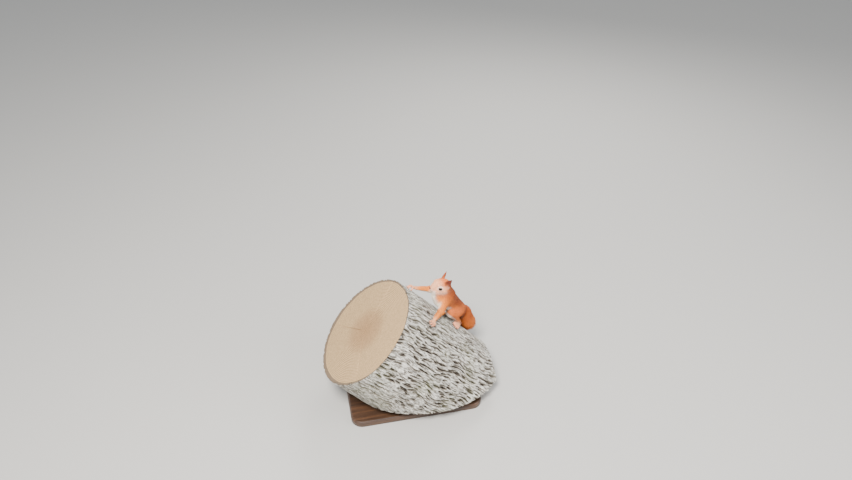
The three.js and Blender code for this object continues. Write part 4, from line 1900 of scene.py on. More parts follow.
@dataclass(frozen=True)
class Markings:
    """The coat's colours, as display colours, and where each one lies."""

    # the colour of the dark line down the back; also laid as painted shade in the hollow behind the
    # shoulders
    spine: Triple = (108, 48, 23)
    back: Triple = (142, 66, 28)
    flank: Triple = (190, 98, 40)
    belly: Triple = (255, 240, 222)
    limb: Triple = (242, 140, 56)
    limb_inside: Triple = (252, 222, 190)
    thigh: Triple = (224, 116, 54)
    rump: Triple = (104, 44, 22)
    # the shank's orange, darkened by painted shade as under the haunch; also laid on the heels as
    # painted shade
    shank: Triple = (128, 60, 30)
    foot: Triple = (246, 176, 132)
    digit: Triple = (236, 158, 120)
    crown: Triple = (226, 122, 62)
    face: Triple = (255, 180, 136)
    cheek: Triple = (248, 210, 190)
    eye_ring: Triple = (255, 228, 212)
    # painted shade under the cheeks and along the fold behind the jaw
    jowl: Triple = (186, 112, 76)
    lid: Triple = (44, 27, 22)
    # the mouth line's colour, also laid as a thin painted shadow line along the jaw's fold
    lips: Triple = (104, 56, 50)
    ear_back: Triple = (176, 82, 42)
    ear_inside: Triple = (112, 50, 36)
    tail_root: Triple = (168, 78, 28)
    tail_middle: Triple = (204, 106, 38)
    tail_tip: Triple = (116, 56, 32)

    def over(self, under: Array, name: str, share: Array) -> Array:
        """One of the colours laid over others by a share from 0 to 1."""
        return under + (srgb(*getattr(self, name)) - under) * share[:, None]

    def all(self, name: str, points: Array) -> Array:
        """One of the colours at every point."""
        return self.over(np.zeros((len(points), 3)), name, np.ones(len(points)))

    def body(self, points: Array, normals: Array) -> Array:
        """Cream below, orange flanks, rust back with a darker middle line, and painted shade behind the
        shoulders.

        Args:
            points: Points of the skin.
            normals: Their outward directions.

        Returns:
            Linear colours.
        """
        chest = ease(28, 56, points[:, 0])[:, None]
        under = (normals * unit(P(0, 0, -1) + chest * P(0.75, -0.22, 0.1))).sum(1)
        flank = 1 - ease(0.16, 0.7, under)
        facing = normals[:, 2] + 0.05 * Ripple(21, 14).at(points)
        c = self.over(self.over(self.all("belly", points), "flank", flank), "limb",
                      0.75 * ease(0.0, 0.4, under + 0.15) * chest[:, 0] * flank)
        c = self.over(c, "back", ease(-0.05, 0.5, facing))
        c = self.over(c, "spine", 0.8 * ease(0.8, 1.0, facing))
        # painted shade: the same dark colour laid in the hollow behind the shoulders
        hollow = np.exp(-((points[:, 0] - 27 + 0.35 * points[:, 2]) / 6.5) ** 2)
        c = self.over(c, "spine", 0.5 * hollow * ease(-0.35, 0.1, facing))
        c = self.over(c, "rump", 0.75 * (1 - ease(-38, -24, points[:, 0])) * ease(-0.5, 0, facing))
        return c * (1 + 0.13 * Ripple(25, 6).at(points) * ease(-0.5, 0.1, facing))[:, None]

    def limbs(self, points: Array, normals: Array, end: Array) -> Array:
        """Peach outside, cream inside, pinker towards the digits.

        Args:
            points: Points of the skin.
            normals: Their outward directions.
            end: Share of the way to the digits.

        Returns:
            Linear colours.
        """
        inner = ease(0.1, 0.75, -normals[:, 2] + 0.1 * Ripple(22, 9).at(points))
        c = self.over(self.all("limb", points), "limb_inside", inner * (1 - end))
        return self.over(c, "foot", end)

    def head(self, points: Array, body: Array) -> Array:
        """A rust crown, peach face, pale cheeks, chin and eye ring, and painted shade under the cheeks
        and along the jaw; the nape is as the body.

        Args:
            points: Points of the skin.
            body: The body's colours there.

        Returns:
            Linear colours.
        """
        back, _, up = FACE.local(points).T
        wave = 0.8 * Ripple(23, 8).at(points)
        c = self.all("face", points)
        c = self.over(c, "crown", ease(9.0, 17.0, up + wave) * ease(11, 27, back))
        c = self.over(c, "crown", 0.85 * ease(26, 36, back + wave) * ease(-3, 5, up))
        c = self.over(c, "cheek", 1 - ease(-3.2, 2.4, up + wave))
        c = c + (body - c) * (ease(25, 41, back - 0.35 * up + wave) * 0.9)[:, None]
        # painted shade on the underside of the cheeks
        c = self.over(c, "jowl", (1 - ease(-9, -1, up)) * ease(12, 22, back) * 0.6)
        c = self.over(c, "belly", (1 - ease(-9.5, -6.0, up)) * (1 - ease(9, 18, back)))
        for which in Side:
            lobe = np.linalg.norm(points - FACE.point(34.5, 14.5 * which.value, 9.5), axis=1)
            c = self.over(c, "cheek", 0.45 * (1 - ease(1.5, 5.5, lobe)))
            ring = np.linalg.norm(points - ANATOMY.eye(which), axis=1)
            c = self.over(c, "eye_ring", 0.75 * (1 - ease(5.4, 7.6, ring)))
            c = self.over(c, "lid", (ring < 7) * (1 - ease(1.2, 1.42, lid_reach(points, which))))
            # painted shadow along the fold behind the jaw, stronger on the left side
            crease = near_line(FACE.local(points), np.array(ANATOMY.jaw) * [1, which.value, 1])
            fold = ANATOMY.jaw_tint[which]
            c = self.over(c, "jowl", fold * (1 - ease(1.2, 4.0, crease)))
            # a thin painted shadow line down the middle of that fold
            c = self.over(c, "lips", 0.5 * fold * (1 - ease(0.6, 2.2, crease)))
            c = self.over(c, "lips", 0.85 * (1 - ease(0.5, 1.3, mouth_gap(points, which))))
        return c

    def tail(self, along: Array, points: Array) -> Array:
        """Rust at the root and tip, more orange between.

        Args:
            along: Share of the way to the tip.
            points: Points of the skin.

        Returns:
            Linear colours.
        """
        wave = along + 0.05 * Ripple(24, 20).at(points)
        c = self.over(self.all("tail_root", points), "tail_middle", ease(0.15, 0.5, wave))
        return self.over(c, "tail_tip", ease(0.55, 0.98, wave))


@dataclass
class Groom:
    """Works out the coat at points of the skin from the parts nearest to them."""

    spread: float = 2.4
    margin: float = 9.0
    thigh_flow: Triple = (-0.8, 0.15, -0.5)
    marks: Markings = Markings()

    def part(self, region: Region, points: Array) -> tuple[Array, dict[str, Array]]:
        """The distance of points to one part, and that part's values at them.

        Args:
            region: The part.
            points: Points of the skin.

        Returns:
            The distances, and the values by name.
        """
        gap = np.full(len(points), FAR)
        found = {"along": np.zeros(len(points)), "around": np.zeros(len(points)),
                 "digit": np.zeros(len(points)), "flow": np.zeros((len(points), 3))}
        for number, loft in enumerate(region.lofts):
            g, which = loft.nearest(points)
            closer = g < gap
            w, s = which[closer], loft.samples
            off = points[closer] - s["at"][w]
            gap[closer] = g[closer]
            found["along"][closer] = s["t"][w]
            found["around"][closer] = np.arctan2((off * s["up"][w]).sum(1),
                                                 (off * s["across"][w]).sum(1)) / (2 * np.pi) + 0.5
            found["flow"][closer] = s["along"][w] * loft.flow
            found["digit"][closer] = float(number > 0)
        if region.name.startswith("thigh"):
            sign = 1 if region.name.endswith("left") else -1
            found["flow"][:] = unit(np.array(self.thigh_flow) * [1, sign, 1])
        return gap, found

    def comb(self, points: Array, normals: Array) -> Coat:
        """The coat at each point.

        Args:
            points: Points of the skin.
            normals: Their outward directions.

        Returns:
            Everything the tufts and colours need.
        """
        count, regions = len(points), ANATOMY.regions
        weight = np.zeros((len(regions), count))
        flow, grown = np.zeros((count, 3)), np.zeros((count, 4))
        along, around, digit = np.zeros(count), np.zeros(count), np.zeros(count)
        top = np.full(count, FAR)
        owner = np.zeros(count, int)
        for number, region in enumerate(regions):
            low, high = box_round(region.lofts, self.margin)
            near = np.flatnonzero(np.all((points > low) & (points < high), axis=1))
            gap, found = self.part(region, points[near])
            w = np.exp(-np.clip(gap, -2, 30) / self.spread)
            weight[number, near] = w
            flow[near] += w[:, None] * found["flow"]
            g, t = region.growth, found["along"][:, None]
            ends = np.array([g.length, g.lift, g.width, (g.dense, g.dense)])
            grown[near] += w[:, None] * (ends[:, 0] + (ends[:, 1] - ends[:, 0]) * t)
            closer = gap < top[near]
            at = near[closer]
            top[at], owner[at] = gap[closer], number
            along[at], around[at] = found["along"][closer], found["around"][closer]
            digit[at] = found["digit"][closer]
        total = weight.sum(0) + 1e-9
        grown /= total[:, None]
        flow = unit(flow - normals * (flow * normals).sum(1, keepdims=True))
        coat = Coat(flow, grown[:, 0], grown[:, 1], grown[:, 2], grown[:, 3], owner, along, around,
                    self.colours(points, normals, weight / total, along))
        self.trim(coat, points, normals, digit)
        return coat

    def colours(self, points: Array, normals: Array, weight: Array, along: Array) -> Array:
        """The marking colours, mixed by how near each part is, with painted shade on the shanks and
        heels.

        Args:
            points: Points of the skin.
            normals: Their outward directions.
            weight: Each region's share, a row for each.
            along: Share of the way along the nearest part.

        Returns:
            Linear colours.
        """
        m = self.marks
        names = [r.name for r in ANATOMY.regions]
        share = {key: sum(weight[i] for i, n in enumerate(names) if n.startswith(starts))[:, None]
                 for key, starts in (("body", ("trunk", "neck")), ("head", "head"), ("ear", "ear"),
                                     ("thigh", "thigh"), ("tail", "tail"),
                                     ("limb", "forearm"), ("upper", "upper_arm"), ("shank", "shank"),
                                     ("foot", ("forepaw", "hind_foot")))}
        body = m.body(points, normals)
        bright = ease(-0.45, 0.0, normals[:, 2]) * ease(-36, -22, points[:, 0])
        inside = np.zeros(len(points))
        for side in Side:
            middle = FACE.point(35, side.value * 13.5, 21)
            near = 1 - ease(16, 19, np.linalg.norm(points - middle, axis=1))
            inside = np.maximum(inside, near * ease(0.1, 0.5, normals @ ANATOMY.ear_way(side)))
        # painted shade: the heels of the hind feet take the dark shank colour
        heel = np.zeros(len(points))
        for region, held in zip(ANATOMY.regions, weight):
            if region.name.startswith("hind_foot"):
                away = np.linalg.norm(points - region.lofts[0].samples["at"][0], axis=1)
                heel += held * (1 - ease(5, 14, away))
        still = np.zeros(len(points))
        limb = m.limbs(points, normals, still)
        c = (share["body"] * body + share["head"] * m.head(points, body)
             + share["ear"] * m.over(m.all("ear_back", points), "ear_inside", inside)
             + share["thigh"] * m.over(body, "thigh", 0.8 * bright)
             + share["tail"] * m.tail(along, points) + share["limb"] * limb
             + share["upper"] * (0.6 * limb + 0.4 * body)
             # the shanks take the shank colour: their orange darkened by painted shade
             + share["shank"] * m.over(limb, "shank", 0.8 + still)
             + share["foot"] * m.limbs(points, normals, still + 1))
        return m.over(c, "shank", 0.75 * heel)

    def trim(self, coat: Coat, points: Array, normals: Array, digit: Array) -> None:
        """Thins and shortens the coat on the nose, lids, ear dishes, soles and digits; paints shade on
        the heels and tints the digits.

        Args:
            coat: The coat, which is changed.
            points: Points of the skin.
            normals: Their outward directions.
            digit: Above 0 on digits.
        """
        names = np.array([r.name for r in ANATOMY.regions])[coat.region]
        local = FACE.local(points)
        coat.dense *= ease(2.6, 3.6, np.linalg.norm(local - [1, 0, 0.5], axis=1))
        coat.length *= np.where(names == "head", 0.55 + 0.45 * ease(2, 26, local[:, 0]), 1.0)
        for which in Side:
            away = np.linalg.norm(points - ANATOMY.eye(which), axis=1)
            coat.dense *= np.where(away < 7, ease(1.3, 1.5, lid_reach(points, which)), 1.0)
            coat.dense[away < 4.6] = 0
            coat.length *= 1 - 0.6 * (1 - ease(5.5, 9.5, away))
            coat.lift *= 1 - 0.5 * (1 - ease(5.5, 9.5, away))
            coat.dense *= ease(0.7, 1.4, mouth_gap(points, which))
            dish = (names == f"ear_{which.word}") & (normals @ ANATOMY.ear_way(which) > 0.25)
            coat.dense[dish] *= 0.35
            coat.length[dish] *= 0.6
        _, around, off_bark = TRUNK.polar(points)
        foot = np.char.startswith(names, "forepaw") | np.char.startswith(names, "hind_foot")
        under = (normals * TRUNK.outward(around)).sum(1) < -0.15
        coat.dense[foot & under] = 0
        coat.dense[off_bark < 0.6] = 0
        coat.length *= np.where(digit > 0, 0.75, 1.0)
        coat.dense[(digit > 0) & (coat.along > 0.75)] = 0
        # painted shade: the heel half of each hind sole blends into the dark shank colour
        heel = np.char.startswith(names, "hind_foot") & (digit == 0)
        coat.colour = self.marks.over(coat.colour, "shank",
                                      heel * (0.85 - 0.85 * ease(0.1, 0.75, coat.along)))
        coat.colour = self.marks.over(coat.colour, "digit",
                                      ((digit > 0) & foot) * ease(0.2, 0.8, coat.along))


@dataclass
class Skin:
    """The one skin under the coat, from the nose to the end of the tail."""

    step: float = 0.56
    margin: float = 4.0
    most: int = 190000
    hidden_shade: float = 0.7
    points: Array = field(default_factory=lambda: np.zeros((0, 3)))
    normals: Array = field(default_factory=lambda: np.zeros((0, 3)))
    triangles: Array = field(default_factory=lambda: np.zeros((0, 3), int))
    coat: Coat | None = None

    def block(self) -> Block:
        """All parts joined in one block of space, with the face worked in.

        Returns:
            The block.
        """
        lofts = [loft for region in ANATOMY.regions for loft in region.lofts]
        block = Block(*box_round(lofts, self.margin), self.step)
        for region in ANATOMY.regions:
            for loft in region.lofts:
                block.join(loft, region.soft)
        FaceWork().build(block)
        return block

    def build(self) -> Object:
        """Makes the skin, thins its faces, and paints it.

        Returns:
            The skin.
        """
        points, quads = self.block().net()
        log.info("net: %d quads", len(quads))
        piece = add_mesh("skin", TRUNK.world(points), [quads], [SKIN.make()])
        thin = piece.modifiers.new("thin", "DECIMATE")
        thin.ratio = min(self.most / (2 * len(quads)), 1.0)
        whole = piece.data
        graph = bpy.context.evaluated_depsgraph_get()
        piece.data = bpy.data.meshes.new_from_object(piece.evaluated_get(graph))
        piece.modifiers.clear()
        bpy.data.meshes.remove(whole)
        self.read(piece.data)
        self.coat = Groom().comb(self.points, self.normals)
        shade = np.where(self.coat.dense > 0.3, self.hidden_shade, 1.0)
        paint(piece, "coat", self.coat.colour * shade[:, None])
        settle(piece, "coat_fur", [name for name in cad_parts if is_flesh(name)])
        return piece

    def read(self, mesh: Mesh) -> None:
        """Reads points, normals and triangles back in the squirrel's frame.

        Args:
            mesh: The finished mesh.
        """
        mesh.calc_loop_triangles()
        points, normals = (np.empty(len(mesh.vertices) * 3, np.float32) for _ in range(2))
        mesh.vertices.foreach_get("co", points)
        mesh.vertices.foreach_get("normal", normals)
        corners = np.empty(len(mesh.loop_triangles) * 3, np.int32)
        mesh.loop_triangles.foreach_get("vertices", corners)
        self.points = TRUNK.local(points.reshape(-1, 3).astype(float) / MM)
        self.normals = normals.reshape(-1, 3).astype(float) @ TRUNK.axes().T
        self.triangles = corners.reshape(-1, 3)


def is_flesh(name: str) -> bool:
    """Whether a node is a part of the body that the skin replaces."""
    return not name.startswith(("stand_", "perch_", "nose", "eye_", "claw_"))


# ------------------------------------------------------------------ coat

@dataclass
class Tufts:
    """Tapering locks of hair scattered over part of the skin, joined as closed meshes.

    A lock has rings of three points and a tip. It leaves the skin at its lift angle and bends
    back towards it.

    Args:
        skin: The finished skin.
        most: Most triangles in one piece.
        swirl: Degrees by which neighbours turn together.
        stray: Degrees by which each one turns alone.
        clump_wave: Size of the clumps in millimetres.
        root_shade: Tone at the root.
        tip_shade: Tone at the tip.
        patch: Size of a lock's place on the colour map.
        clearance: Least gap to the bark's ridge line in millimetres.
        lengths: Least and most length, as factors.
        widths: Least and most width, as factors.
        tones: Darkest and lightest lock, as factors.
        hue_stray: How far each lock's hue strays.
        lift_stray: Degrees by which each lift strays.
        side_stray: How far a tip strays sideways, as a share of the length.
        rise: Slope at the root, as a factor on the lift.
        fall: Slope at the tip, as a factor on the lift.
        sunk: Root depth as a share of the length, and the least and most of it.
        thick: Thickness as a share of the width.
        roundness: How far the shading leans out to a lock's edges.
    """

    skin: Skin
    most: int = 190000
    swirl: float = 11.0
    stray: float = 7.0
    clump_wave: float = 7.0
    root_shade: float = 0.62
    tip_shade: float = 1.14
    patch: float = 0.003
    clearance: float = 0.1
    lengths: Pair = (0.72, 1.18)
    widths: Pair = (0.75, 1.2)
    tones: Pair = (0.84, 1.12)
    hue_stray: float = 0.05
    lift_stray: float = 2.5
    side_stray: float = 0.05
    rise: float = 1.5
    fall: float = 0.45
    sunk: Triple = (0.07, 0.04, 0.4)
    thick: float = 0.34
    roundness: float = 0.55

    def build(self, piece: str, slot: str, rings: int, scale: float, seed: int,
              finish: Material) -> list[Object]:
        """Makes the tufts of one part of the body.

        Args:
            piece: The group of regions to cover.
            slot: The record's slot for them.
            rings: Rings in each lock.
            scale: Multiplies the number of tufts.
            seed: Seeds their places and unevenness.
            finish: Their material.

        Returns:
            One object, or several where one would hold too many faces.
        """
        rng = np.random.default_rng(seed)
        coat, skin = self.skin.coat, self.skin
        wanted = np.array([r.piece == piece for r in ANATOMY.regions])
        tri = skin.triangles[wanted[coat.region[skin.triangles[:, 0]]]]
        a, b, c = (skin.points[tri[:, k]] for k in range(3))
        area = np.linalg.norm(np.cross(b - a, c - a), axis=1) / 2
        share = np.cumsum(area * coat.dense[tri].mean(1) * scale)
        count = int(share[-1])
        spot = (np.arange(count) + rng.random(count)) * share[-1] / count
        tri = tri[np.minimum(np.searchsorted(share, spot), len(tri) - 1)]
        u, v = rng.random((2, count))
        u, v = np.where(u + v > 1, 1 - u, u), np.where(u + v > 1, 1 - v, v)
        w = np.stack([1 - u - v, u, v], 1)
        order = np.lexsort((coat.along[tri[:, 0]], coat.region[tri[:, 0]]))
        tri, w = tri[order], w[order]
        each = 6 * (rings - 1) + 4
        parts = int(math.ceil(count * each / self.most))
        made = []
        for number, held in enumerate(np.array_split(np.arange(count), parts)):
            name = f"coat_{piece}" + (f"_{number + 1}" if parts > 1 else "")
            made.append(self.part(name, slot, tri[held], w[held], rings, seed + number, finish))
        return made

    def part(self, name: str, slot: str, tri: Array, w: Array, rings: int, seed: int,
             finish: Material) -> Object:
        """One joined mesh of tufts at weighted places on triangles.

        Args:
            name: The piece's name.
            slot: The record's slot.
            tri: The skin triangle under each tuft.
            w: The root's place on it, as weights of its corners.
            rings: Rings in each lock.
            seed: Seeds their unevenness.
            finish: Their material.

        Returns:
            The finished piece.
        """
        rng = np.random.default_rng(seed + 500)
        skin, coat, n = self.skin, self.skin.coat, len(tri)

        def at_root(values: Array) -> Array:
            """A quantity of the skin's points at the tufts' roots.

            Args:
                values: A value or vector for each point of the skin.

            Returns:
                The same for each tuft.
            """
            if values.ndim == 1:
                return (values[tri] * w).sum(1)
            return (values[tri] * w[..., None]).sum(1)

        root, normal = at_root(skin.points), unit(at_root(skin.normals))
        flow = at_root(coat.flow)
        turn = np.radians(self.swirl * Ripple(seed + 1, self.clump_wave).at(root)
                          + self.stray * rng.normal(size=n))[:, None]
        flow = unit(flow - normal * (flow * normal).sum(1, keepdims=True))
        across = np.cross(normal, flow)
        flow, across = (flow * np.cos(turn) + across * np.sin(turn),
                        across * np.cos(turn) - flow * np.sin(turn))
        wave = Ripple(seed + 2, self.clump_wave * 1.3).at(root)
        length = at_root(coat.length) * (1 + 0.08 * wave) * rng.uniform(*self.lengths, n)
        lift = np.radians(at_root(coat.lift) * (1 + 0.13 * wave) + rng.normal(0, self.lift_stray, n))
        width = at_root(coat.width) * rng.uniform(*self.widths, n)
        u = (np.arange(rings + 1) / rings)[None, :, None]
        rise = np.sin(self.rise * lift)[:, None, None]
        fall = np.sin(self.fall * lift)[:, None, None]
        side = rng.normal(0, self.side_stray, n)[:, None, None]
        sunk = np.clip(self.sunk[0] * length, *self.sunk[1:])[:, None, None]
        path = (root[:, None] - sunk * normal[:, None]
                + length[:, None, None] * (u * np.cos(lift)[:, None, None] * flow[:, None]
                                           + (rise * u - 0.5 * (rise - fall) * u * u) * normal[:, None]
                                           + side * u * u * across[:, None]))
        taper = (0.8 + 0.9 * u) * np.maximum(1 - u, 0) ** 0.7 * width[:, None, None]
        up = normal[:, None] * self.thick * taper
        left = across[:, None] * 0.5 * taper
        ring = np.stack([path + left, path + up, path - left], 2)[:, :rings]
        points = np.concatenate([ring.reshape(n, -1, 3), path[:, -1:]], 1)
        _, around, off_bark = TRUNK.polar(points)
        points += np.maximum(self.clearance - off_bark, 0)[..., None] * TRUNK.outward(around)
        piece = add_mesh(name, TRUNK.world(points.reshape(-1, 3)), self.faces(n, rings), [finish])
        self.finish(piece, tri, rings, at_root, rng, normal, across)
        settle(piece, slot, [])
        return piece

    def faces(self, n: int, rings: int) -> list[Array]:
        """The locks' faces: sides, tips and root caps.

        Args:
            n: How many locks there are.
            rings: Rings in each.

        Returns:
            Quads and triangles.
        """
        start = (np.arange(n) * (3 * rings + 1))[:, None, None]
        k = np.arange(3)
        base = (3 * np.arange(rings - 1)[:, None] + k)
        nxt = (3 * np.arange(rings - 1)[:, None] + (k + 1) % 3)
        quad = np.stack([base, nxt, nxt + 3, base + 3], -1).reshape(1, -1, 4)
        last = 3 * (rings - 1)
        tip = np.stack([last + k, last + (k + 1) % 3, np.full(3, 3 * rings)], -1)
        small = np.vstack([tip, [[0, 2, 1]]])[None]
        return [(quad + start).reshape(-1, 4), (small + start).reshape(-1, 3)]

    def finish(self, piece: Object, tri: Array, rings: int,
               at_root: Callable[[Array], Array], rng: np.random.Generator, normal: Array,
               across: Array) -> None:
        """Paints the locks, lays out their colour map, and softens their shading.

        Args:
            piece: The joined locks.
            tri: The skin triangle under each.
            rings: Rings in each lock.
            at_root: Takes a quantity of the skin to the roots.
            rng: Gives each lock its own tone.
            normal: The way out of the skin at each root.
            across: The way across each lock.
        """
        coat, n = self.skin.coat, len(tri)
        step = np.concatenate([np.repeat(np.arange(rings), 3), [rings]]) / rings
        tone = self.root_shade + (self.tip_shade - self.root_shade) * step ** 0.8
        tuft = rng.uniform(*self.tones, (n, 1, 1)) * (
            1 + self.hue_stray * rng.normal(size=(n, 1, 3)))
        shade = at_root(coat.colour)[:, None] * tone[None, :, None] * tuft
        paint(piece, "coat", np.clip(shade, 0, 1).reshape(-1, 3))
        region, along = coat.region[tri[:, 0]], coat.along[tri[:, 0]]
        band = np.searchsorted(np.unique(region), region) + 0.98 * along
        place = np.stack([coat.around[tri[:, 0]], band], 1)
        place = (place - place.min(0)) / np.ptp(place, axis=0) * 0.985 + 0.005
        lane = np.concatenate([np.tile([0, 0.5, 1.0], rings), [0.5]])
        row = step * 0.85 + np.concatenate([np.tile([0, 0.15, 0], rings), [0.15]])
        uv = place[:, None] + self.patch * np.stack([lane, row], -1)[None]
        layer = piece.data.uv_layers.new(name="OFBake")
        corner = np.empty(len(piece.data.loops), np.int32)
        piece.data.loops.foreach_get("vertex_index", corner)
        layer.data.foreach_set("uv", uv.reshape(-1, 2)[corner].astype(np.float32).ravel())
        lean = self.roundness * np.concatenate([np.tile([1, 0, -1], rings), [0]])
        soft = unit(normal[:, None] + across[:, None] * lean[None, :, None])
        soft = soft.reshape(-1, 3) @ TRUNK.axes()
        piece.data.normals_split_custom_set_from_vertices(soft.astype(np.float32))


@dataclass
class Hair:
    """Covers the whole animal with tufts, part by part."""

    skin: Skin
    pieces: tuple[tuple[str, str, int, float], ...] = (
        ("head", "face_fur", 2, 1.25), ("neck", "coat_fur", 2, 1.3), ("trunk", "coat_fur", 3, 1.2),
        ("arm_left", "limb_fur", 2, 1.1), ("arm_right", "limb_fur", 2, 1.1),
        ("leg_left", "limb_fur", 2, 1.2), ("leg_right", "limb_fur", 2, 1.2),
        ("tail", "tail_fur", 4, 1.1))

    def build(self) -> None:
        """Makes every piece of coat."""
        finish = FUR.make()
        tufts = Tufts(self.skin)
        for number, (piece, slot, rings, scale) in enumerate(self.pieces):
            tufts.build(piece, slot, rings, scale, 100 + 10 * number, finish)


# ------------------------------------------------------------------ small parts of the animal

@dataclass
class Eyes:
    """The eyeballs: spheres with a cornea that swells a little round the gaze."""

    radius: float = 4.2
    cornea: float = 0.16
    cornea_spread: float = 0.75
    rings: int = 40
    sides: int = 64

    def build(self) -> None:
        """Makes both eyes on a grid of angle from the gaze and angle round it."""
        finish = EyeFinish().make()
        polar = np.linspace(0, np.pi, self.rings)[1:-1]
        turn = np.linspace(0, 2 * np.pi, self.sides, endpoint=False)
        for side in Side:
            basis = eye_frame(side)[[1, 2, 0]]
            swell = self.radius + self.cornea * np.exp(-(polar / self.cornea_spread) ** 2)
            ball = np.stack([np.outer(np.sin(polar) * swell, np.cos(turn)),
                             np.outer(np.sin(polar) * swell, np.sin(turn)),
                             np.outer(np.cos(polar) * swell, np.ones(self.sides))], -1)
            ends = np.array([[0, 0, self.radius + self.cornea], [0, 0, -self.radius]])
            points = ANATOMY.eye(side) + np.vstack([ball.reshape(-1, 3), ends]) @ basis
            piece = add_mesh(f"eyeball_{side.word}", TRUNK.world(points),
                             capped(len(ball), self.sides, -1), [finish])
            ring = np.repeat(polar, self.sides) / (np.pi / 2)
            mark(piece, "iris", np.concatenate([ring, [0, 2]]))
            settle(piece, "eye", [f"eye_{side.word}"])


@dataclass
class Nose:
    """The bare nose pad: a rounded wedge with a groove down its middle and two nostrils.

    Args:
        place: Its middle, on the head's own axes.
        radii: Its half length, half width and half height.
        groove: Depth of the groove.
        groove_wide: Half width of the groove.
        narrowing: How much narrower it is below.
        nostril: How far out a nostril lies, its half width, half height and depth.
        rings: Rings from its front to its back, with the two ends.
        sides: Points in a ring.
    """

    place: Triple = (1.1, 0.0, 0.6)
    radii: Triple = (2.9, 3.3, 2.6)
    groove: float = 0.35
    groove_wide: float = 0.22
    narrowing: float = 0.28
    nostril: tuple[float, float, float, float] = (1.25, 0.55, 0.5, 0.8)
    rings: int = 34
    sides: int = 56

    def build(self) -> None:
        """Makes the pad on a grid of latitude and longitude about its forward direction."""
        polar = np.linspace(0, np.pi, self.rings)[1:-1, None]
        turn = np.linspace(0, 2 * np.pi, self.sides, endpoint=False)[None]
        ray = np.stack([-np.cos(polar) + 0 * turn, np.sin(polar) * np.cos(turn),
                        np.sin(polar) * np.sin(turn)], -1)
        side, up = ray[..., 1] * self.radii[1], ray[..., 2] * self.radii[2]
        front = ease(0.1, 0.6, -ray[..., 0])
        cut = self.groove * np.exp(-(side / self.groove_wide) ** 2) * front * ease(1.2, -0.6, up)
        out, wide, high, deep = self.nostril
        for s in (-1, 1):
            cut = cut + deep * front * np.exp(-((side - s * out) / wide) ** 2 - ((up + 0.1) / high) ** 2)
        narrow = 1 - self.narrowing * ease(0.2, -1.6, up)
        local = np.stack([ray[..., 0] * (self.radii[0] - cut), side * narrow, up], -1).reshape(-1, 3)
        ends = np.array([[-self.radii[0] + self.groove, 0, 0], [self.radii[0], 0, 0]])
        points = np.array([FACE.point(*self.place)]) + np.vstack([local, ends]) @ FACE.axes()
        piece = add_mesh("nose_pad", TRUNK.world(points), capped(polar.size, turn.size),
                         [HornFinish("nose_leather", (84, 44, 44), 0.45, 1800, 0.00015).make()])
        settle(piece, "bare_skin", ["nose"])


@dataclass
class Claws:
    """The hooked claws of each paw, joined in one piece for each paw.

    Args:
        thick: Radii along a claw.
        digit: The digit's radius that they are meant for.
        sides: Points round a claw.
    """

    thick: tuple[float, ...] = (0.62, 0.74, 0.66, 0.5, 0.3, 0.1)
    digit: float = 1.65
    sides: int = 10

    def build(self) -> None:
        """Makes a tapering bar along each claw's path."""
        finish = HornFinish("claw_horn", (66, 52, 44), 0.35, 1200, 0.00006).make()
        for (side, end), paw in ANATOMY.paws.items():
            radii = np.array(self.thick) * paw.plan.radius / self.digit
            points, faces = gather([
                tube(spline(path, len(radii)), radii, self.sides, paw.outward(path[0]))
                for _, path in paw.digits()])
            which = f"{end.word}_{side.word}"
            piece = add_mesh(f"claws_{which}", TRUNK.world(points), faces, [finish])
            settle(piece, "claw", [f"claw_{which}_{name}" for name in paw.plan.names])


@dataclass
class Whiskers:
    """Fine dark whiskers that sweep back from both whisker pads, and a few over the eyes."""

    radius: float = 0.14
    rows: int = 3
    columns: int = 4
    brow: int = 2
    seed: int = 4

    def build(self) -> None:
        """Makes each whisker as a tapering bar along a bent line."""
        rng = np.random.default_rng(self.seed)
        parts = []
        for side in Side:
            s = side.value
            for row in range(self.rows):
                for column in range(self.columns):
                    start = (3.4 + 1.2 * column, s * (2.9 + 0.55 * column), 0.6 - 1.15 * row)
                    way = unit(P(0.35 + 0.16 * column, s, 0.34 - 0.3 * row) + rng.normal(0, 0.06, 3))
                    parts.append(self.one(start, way, 15 + 4.5 * column + rng.uniform(-2, 2), rng))
            for column in range(self.brow):
                parts.append(self.one((14 + 2 * column, s * 9.2, 12.6),
                                      unit(P(0.3, s * 0.8, 0.6)), 10 + rng.uniform(0, 3), rng))
        points, faces = gather(parts)
        piece = add_mesh("whiskers", TRUNK.world(points), faces,
                         [HornFinish("whisker_hair", (40, 30, 26), 0.4).make()])
        settle(piece, "face_fur", [])

    def one(self, start: Triple, way: Array, length: float,
            rng: np.random.Generator) -> Shape:
        """One whisker from a place on the face, in the head's own directions.

        Args:
            start: Its root.
            way: Its direction there.
            length: Its length.
            rng: Bends it a little.

        Returns:
            Points and faces.
        """
        t = np.linspace(0, 1, 9)[:, None]
        bend = P(0.45, 0, -0.2) + rng.normal(0, 0.08, 3)
        line = np.array(start) + length * (way * t + bend * t ** 2 * 0.55)
        line = np.array([FACE.point(*p) for p in line])
        return tube(line, self.radius * (1 - 0.75 * t[:, 0]), 5, FACE.axes()[2])


# ------------------------------------------------------------------ studio

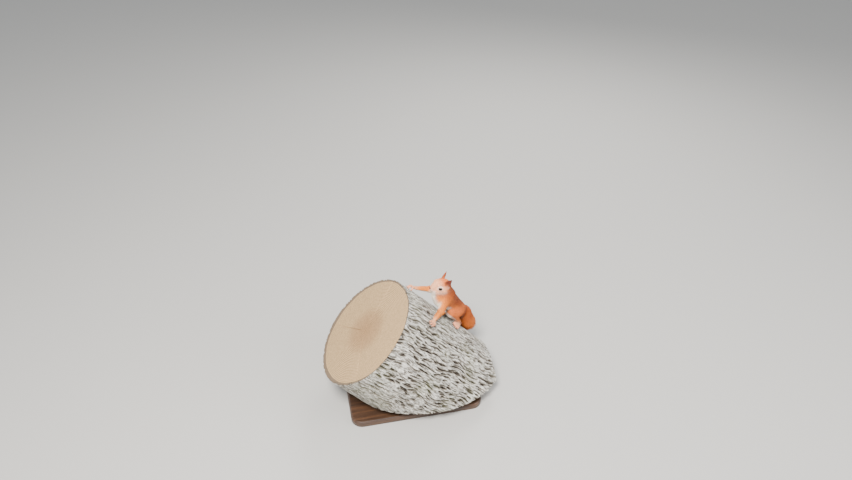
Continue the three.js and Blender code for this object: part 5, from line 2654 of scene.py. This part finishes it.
@dataclass
class Studio:
    """Camera, soft lights and floor, in metres of the shared frame.

    Args:
        offset: The camera's place from the point on the trunk's axis under the animal.
        toward: The way it looks.
        lens: Its focal length in millimetres.
        sensor: Its sensor's width in millimetres.
        near_far: The range in which it sees.
        aim: What the lights are aimed at, from the same point as the camera's place.
        lights: Each light's name, place, side, watts and colour.
        sky: The surrounding light's colour.
        sky_strength: Its strength.
        floor_half: Half the floor's side in millimetres.
        floor_top: Its height in millimetres, just under the base.
    """

    offset: Triple = (-0.19668, -1.16524, 1.15565)
    toward: Triple = (0.1703, 0.8012, -0.5736)
    lens: float = 29.96
    sensor: float = 36.0
    near_far: Pair = (0.01, 50)
    aim: Triple = (0, 0, 0.05)
    lights: tuple[Lamp, ...] = (
        ("key", (-0.5, -1.15, 2.0), 0.6, 150, (1.0, 0.97, 0.93)),
        ("fill", (1.6, -1.0, 1.3), 1.2, 30, (0.97, 0.98, 1.0)),
        ("rim", (0.9, 1.5, 1.5), 0.9, 36, (1.0, 0.98, 0.95)))
    sky: Triple = (0.86, 0.9, 0.95)
    sky_strength: float = 0.86
    floor_half: float = 30000.0
    floor_top: float = -0.2

    def light(self, name: str, at: Triple, target: Vector, size: float,
              power: float, tint: Triple) -> None:
        """One square area light aimed at a target.

        Args:
            name: Its name.
            at: Its place.
            target: What it is aimed at.
            size: Its side in metres.
            power: Its watts.
            tint: Its colour.
        """
        lamp = bpy.data.lights.new(name, "AREA")
        lamp.size, lamp.energy, lamp.color = size, power, tint
        holder = bpy.data.objects.new(name, lamp)
        holder.location = Vector(at)
        holder.rotation_euler = (target - Vector(at)).to_track_quat("-Z", "Y").to_euler()
        bpy.context.scene.collection.objects.link(holder)

    def build(self) -> None:
        """Sets up the camera, lights, world and floor."""
        scene = bpy.context.scene
        grip = Vector(TRUNK.grip() * MM)
        camera = bpy.data.cameras.new("camera")
        camera.lens, camera.sensor_width = self.lens, self.sensor
        camera.clip_start, camera.clip_end = self.near_far
        holder = bpy.data.objects.new("camera", camera)
        holder.location = grip + Vector(self.offset)
        holder.rotation_euler = Vector(self.toward).to_track_quat("-Z", "Y").to_euler()
        scene.collection.objects.link(holder)
        scene.camera = holder
        for name, at, size, power, tint in self.lights:
            self.light(name, at, grip + Vector(self.aim), size, power, tint)
        world = bpy.data.worlds.new("studio_light")
        world.use_nodes = True
        background = world.node_tree.nodes["Background"]
        background.inputs["Color"].default_value = (*self.sky, 1)
        background.inputs["Strength"].default_value = self.sky_strength
        scene.world = world
        corners = np.array([[-1, -1, 0], [1, -1, 0], [1, 1, 0], [-1, 1, 0]]) * self.floor_half
        floor = add_mesh("studio_floor", corners + [0, 0, self.floor_top], [np.array([[0, 1, 2, 3]])],
                         [FloorFinish().make()], smooth=False)


def main() -> None:
    """Builds every piece in order."""
    logging.basicConfig(level=logging.INFO, format="%(relativeCreated)d ms %(message)s")
    Stand().build()
    Perch().build()
    skin = Skin()
    skin.build()
    Hair(skin).build()
    Eyes().build()
    Nose().build()
    Claws().build()
    Whiskers().build()
    Studio().build()


if __name__ == "__main__":
    main()
